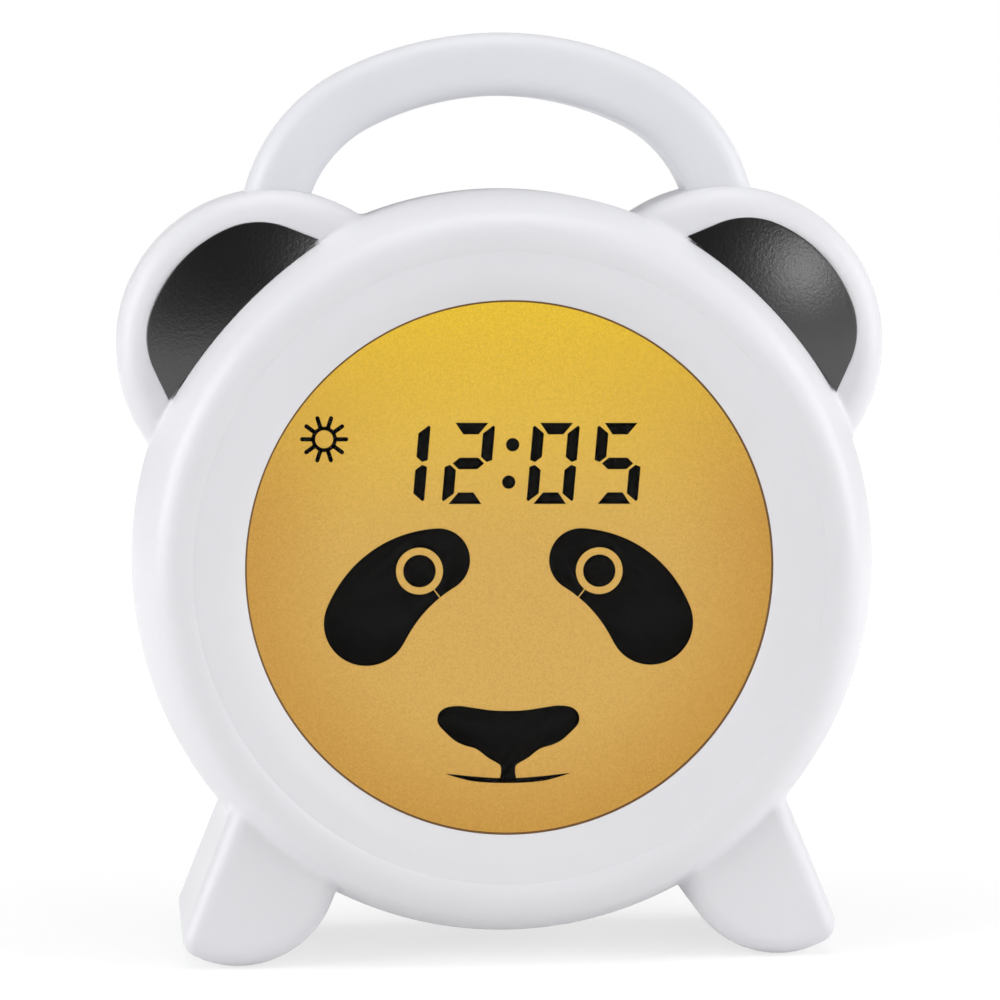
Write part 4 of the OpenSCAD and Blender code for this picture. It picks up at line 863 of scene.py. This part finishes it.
nodeFinish = {
    "battery_door": "shellWhite",
    "foot_pad_left": "padRubber", "foot_pad_right": "padRubber",
    "diffuser_sheet": "sheetWhite", "light_guide": "guideClear", "reflector_sheet": "sheetWhite",
    "lamp_board": "sheetWhite", "lamps": "lampAmber", "display_holder": "innerPlastic",
    "lcd_ribbon": "ribbonAmber", "main_board": "boardGreen", "button_board": "boardGreen",
    "inlet_board": "boardGreen", "processor": "chipBlack", "tact_switches": "chipBlack",
    "crystal": "platedSteel", "capacitors": "capacitorSleeve", "board_plugs": "plugCream",
    "switch_body": "platedSteel", "set_button": "buttonWhite", "down_button": "buttonWhite",
    "up_button": "buttonWhite", "light_button": "buttonWhite", "alarm_knob": "buttonWhite",
    "speaker_frame": "platedSteel", "speaker_cone": "coneBlack", "speaker_magnet": "magnetGrey",
    "speaker_gasket": "foamBlack", "door_screw": "platedSteel", "batteries": "cellGrey",
    "battery_springs": "platedSteel", "battery_contacts": "platedSteel", "usb_inlet": "platedSteel",
    "housing_screws": "platedSteel", "holder_screws": "platedSteel", "board_screws": "platedSteel",
    "rear_board_screws": "platedSteel",
}
for name, finish in nodeFinish.items():
    solid = nodes[name]
    solid.data.materials.clear()
    solid.data.materials.append(made[finish])
print("solids finished:", len(nodeFinish))


studio = {"white": 0.86, "seenWhite": 0.36, "glowNear": 0.7, "glowFar": 1.0, "fadeFrom": 0.12, "fadeTo": 0.37,
          "world": 0.14, "glossFront": 0.04, "glossBack": 0.6, "glossFrom": -0.1, "glossTo": 0.7}


def floorMaterial():
    # pale matt ground: the camera, gloss and glass see it glow, more with the distance from the clock,
    # so that it fades into the white backdrop and keeps the shadow under the clock
    material = bpy.data.materials.new("floorPale")
    material.use_nodes = True
    tree = material.node_tree
    shader = tree.nodes["Principled BSDF"]
    shader.inputs["Roughness"].default_value = 0.9
    shader.inputs["Specular IOR Level"].default_value = 0.0
    light = node(tree, "ShaderNodeLightPath")
    seen = light.outputs["Is Camera Ray"]
    for kind in ("Is Glossy Ray", "Is Transmission Ray"):
        either = node(tree, "ShaderNodeMath", operation="MAXIMUM")
        tree.links.new(seen, either.inputs[0])
        tree.links.new(light.outputs[kind], either.inputs[1])
        seen = either.outputs["Value"]
    place = node(tree, "ShaderNodeTexCoord")
    reach = node(tree, "ShaderNodeVectorMath", operation="LENGTH")
    tree.links.new(place.outputs["Object"], reach.inputs[0])
    fade = node(tree, "ShaderNodeMapRange", interpolation_type="SMOOTHSTEP",
                **{"From Min": studio["fadeFrom"], "From Max": studio["fadeTo"],
                   "To Min": studio["glowNear"], "To Max": studio["glowFar"]})
    tree.links.new(reach.outputs["Value"], fade.inputs["Value"])
    strength = node(tree, "ShaderNodeMath", operation="MULTIPLY")
    tree.links.new(fade.outputs["Result"], strength.inputs[0])
    tree.links.new(seen, strength.inputs[1])
    shader.inputs["Emission Color"].default_value = (1, 1, 1, 1)
    tree.links.new(strength.outputs["Value"], shader.inputs["Emission Strength"])
    tone = node(tree, "ShaderNodeMix", data_type="RGBA")
    tone.inputs["A"].default_value = (studio["white"],) * 3 + (1,)
    tone.inputs["B"].default_value = (studio["seenWhite"],) * 3 + (1,)
    tree.links.new(seen, tone.inputs["Factor"])
    tree.links.new(tone.outputs["Result"], shader.inputs["Base Color"])
    return material


def flatStage(name, corners, material):
    mesh = bpy.data.meshes.new(name)
    mesh.from_pydata(corners, [], [(0, 1, 2, 3)])
    mesh.materials.append(material)
    plane = bpy.data.objects.new(name, mesh)
    bpy.context.scene.collection.objects.link(plane)


flatStage("floor", [(-3, -3, 0), (3, -3, 0), (3, 3, 0), (-3, 3, 0)], floorMaterial())

world = bpy.data.worlds.new("studioWorld")
bpy.context.scene.world = world
world.use_nodes = True
tree = world.node_tree
background = tree.nodes["Background"]
light = node(tree, "ShaderNodeLightPath")
seen = node(tree, "ShaderNodeMath", operation="MAXIMUM")
tree.links.new(light.outputs["Is Camera Ray"], seen.inputs[0])
tree.links.new(light.outputs["Is Transmission Ray"], seen.inputs[1])
# gloss sees a dark room in front of the clock and a pale one behind it
place = node(tree, "ShaderNodeTexCoord")
split = node(tree, "ShaderNodeSeparateXYZ")
tree.links.new(place.outputs["Generated"], split.inputs["Vector"])
depth = node(tree, "ShaderNodeMapRange", interpolation_type="SMOOTHSTEP",
             **{"From Min": studio["glossFrom"], "From Max": studio["glossTo"],
                "To Min": studio["glossFront"], "To Max": studio["glossBack"]})
tree.links.new(split.outputs["Y"], depth.inputs["Value"])
room = node(tree, "ShaderNodeMapRange", **{"To Min": studio["world"]})
tree.links.new(light.outputs["Is Glossy Ray"], room.inputs["Value"])
tree.links.new(depth.outputs["Result"], room.inputs["To Max"])
level = node(tree, "ShaderNodeMapRange", **{"To Max": 1.0})
tree.links.new(seen.outputs["Value"], level.inputs["Value"])
tree.links.new(room.outputs["Result"], level.inputs["To Min"])
tree.links.new(level.outputs["Result"], background.inputs["Strength"])
background.inputs["Color"].default_value = (1, 1, 1, 1)

lamps = {
    "sideLeft": {"place": (-1.5, -0.45, 0.5), "size": 1.2, "power": 19.3},
    "sideRight": {"place": (1.5, -0.45, 0.5), "size": 1.2, "power": 17.6},
    "frontRight": {"place": (0.73, -1.43, 0.54), "size": 0.42, "power": 3.8},
    "frontLeft": {"place": (-1.08, -1.27, 0.4), "size": 0.4, "power": 0.4},
    "top": {"place": (0.0, -0.1, 1.7), "size": 1.4, "power": 13.0},
}
target = Vector((0, 0, 0.09))
for name, lamp in lamps.items():
    data = bpy.data.lights.new(name, "AREA")
    data.shape, data.size, data.energy = "SQUARE", lamp["size"], lamp["power"]
    source = bpy.data.objects.new(name, data)
    source.location = lamp["place"]
    source.rotation_euler = (target - source.location).to_track_quat("-Z", "Y").to_euler()
    bpy.context.scene.collection.objects.link(source)

view = {"azimuth": -5.15, "elevation": 5.125, "distance": 0.925, "aim": (0.000206, 0, 0.09387), "lens": 158.9,
        "roll": -0.394}
azimuth, elevation = math.radians(view["azimuth"]), math.radians(view["elevation"])
back = Vector((math.sin(azimuth) * math.cos(elevation), -math.cos(azimuth) * math.cos(elevation),
               math.sin(elevation)))
cameraData = bpy.data.cameras.new("camera")
cameraData.lens, cameraData.sensor_width, cameraData.clip_start = view["lens"], 36.0, 0.01
camera = bpy.data.objects.new("camera", cameraData)
camera.location = Vector(view["aim"]) + back * view["distance"]
roll = Matrix.Rotation(math.radians(view["roll"]), 3, "Z")
camera.rotation_euler = (back.to_track_quat("Z", "Y").to_matrix() @ roll).to_euler()
bpy.context.scene.collection.objects.link(camera)
bpy.context.scene.camera = camera
bpy.context.scene.view_settings.view_transform = "Standard"
print("studio set")
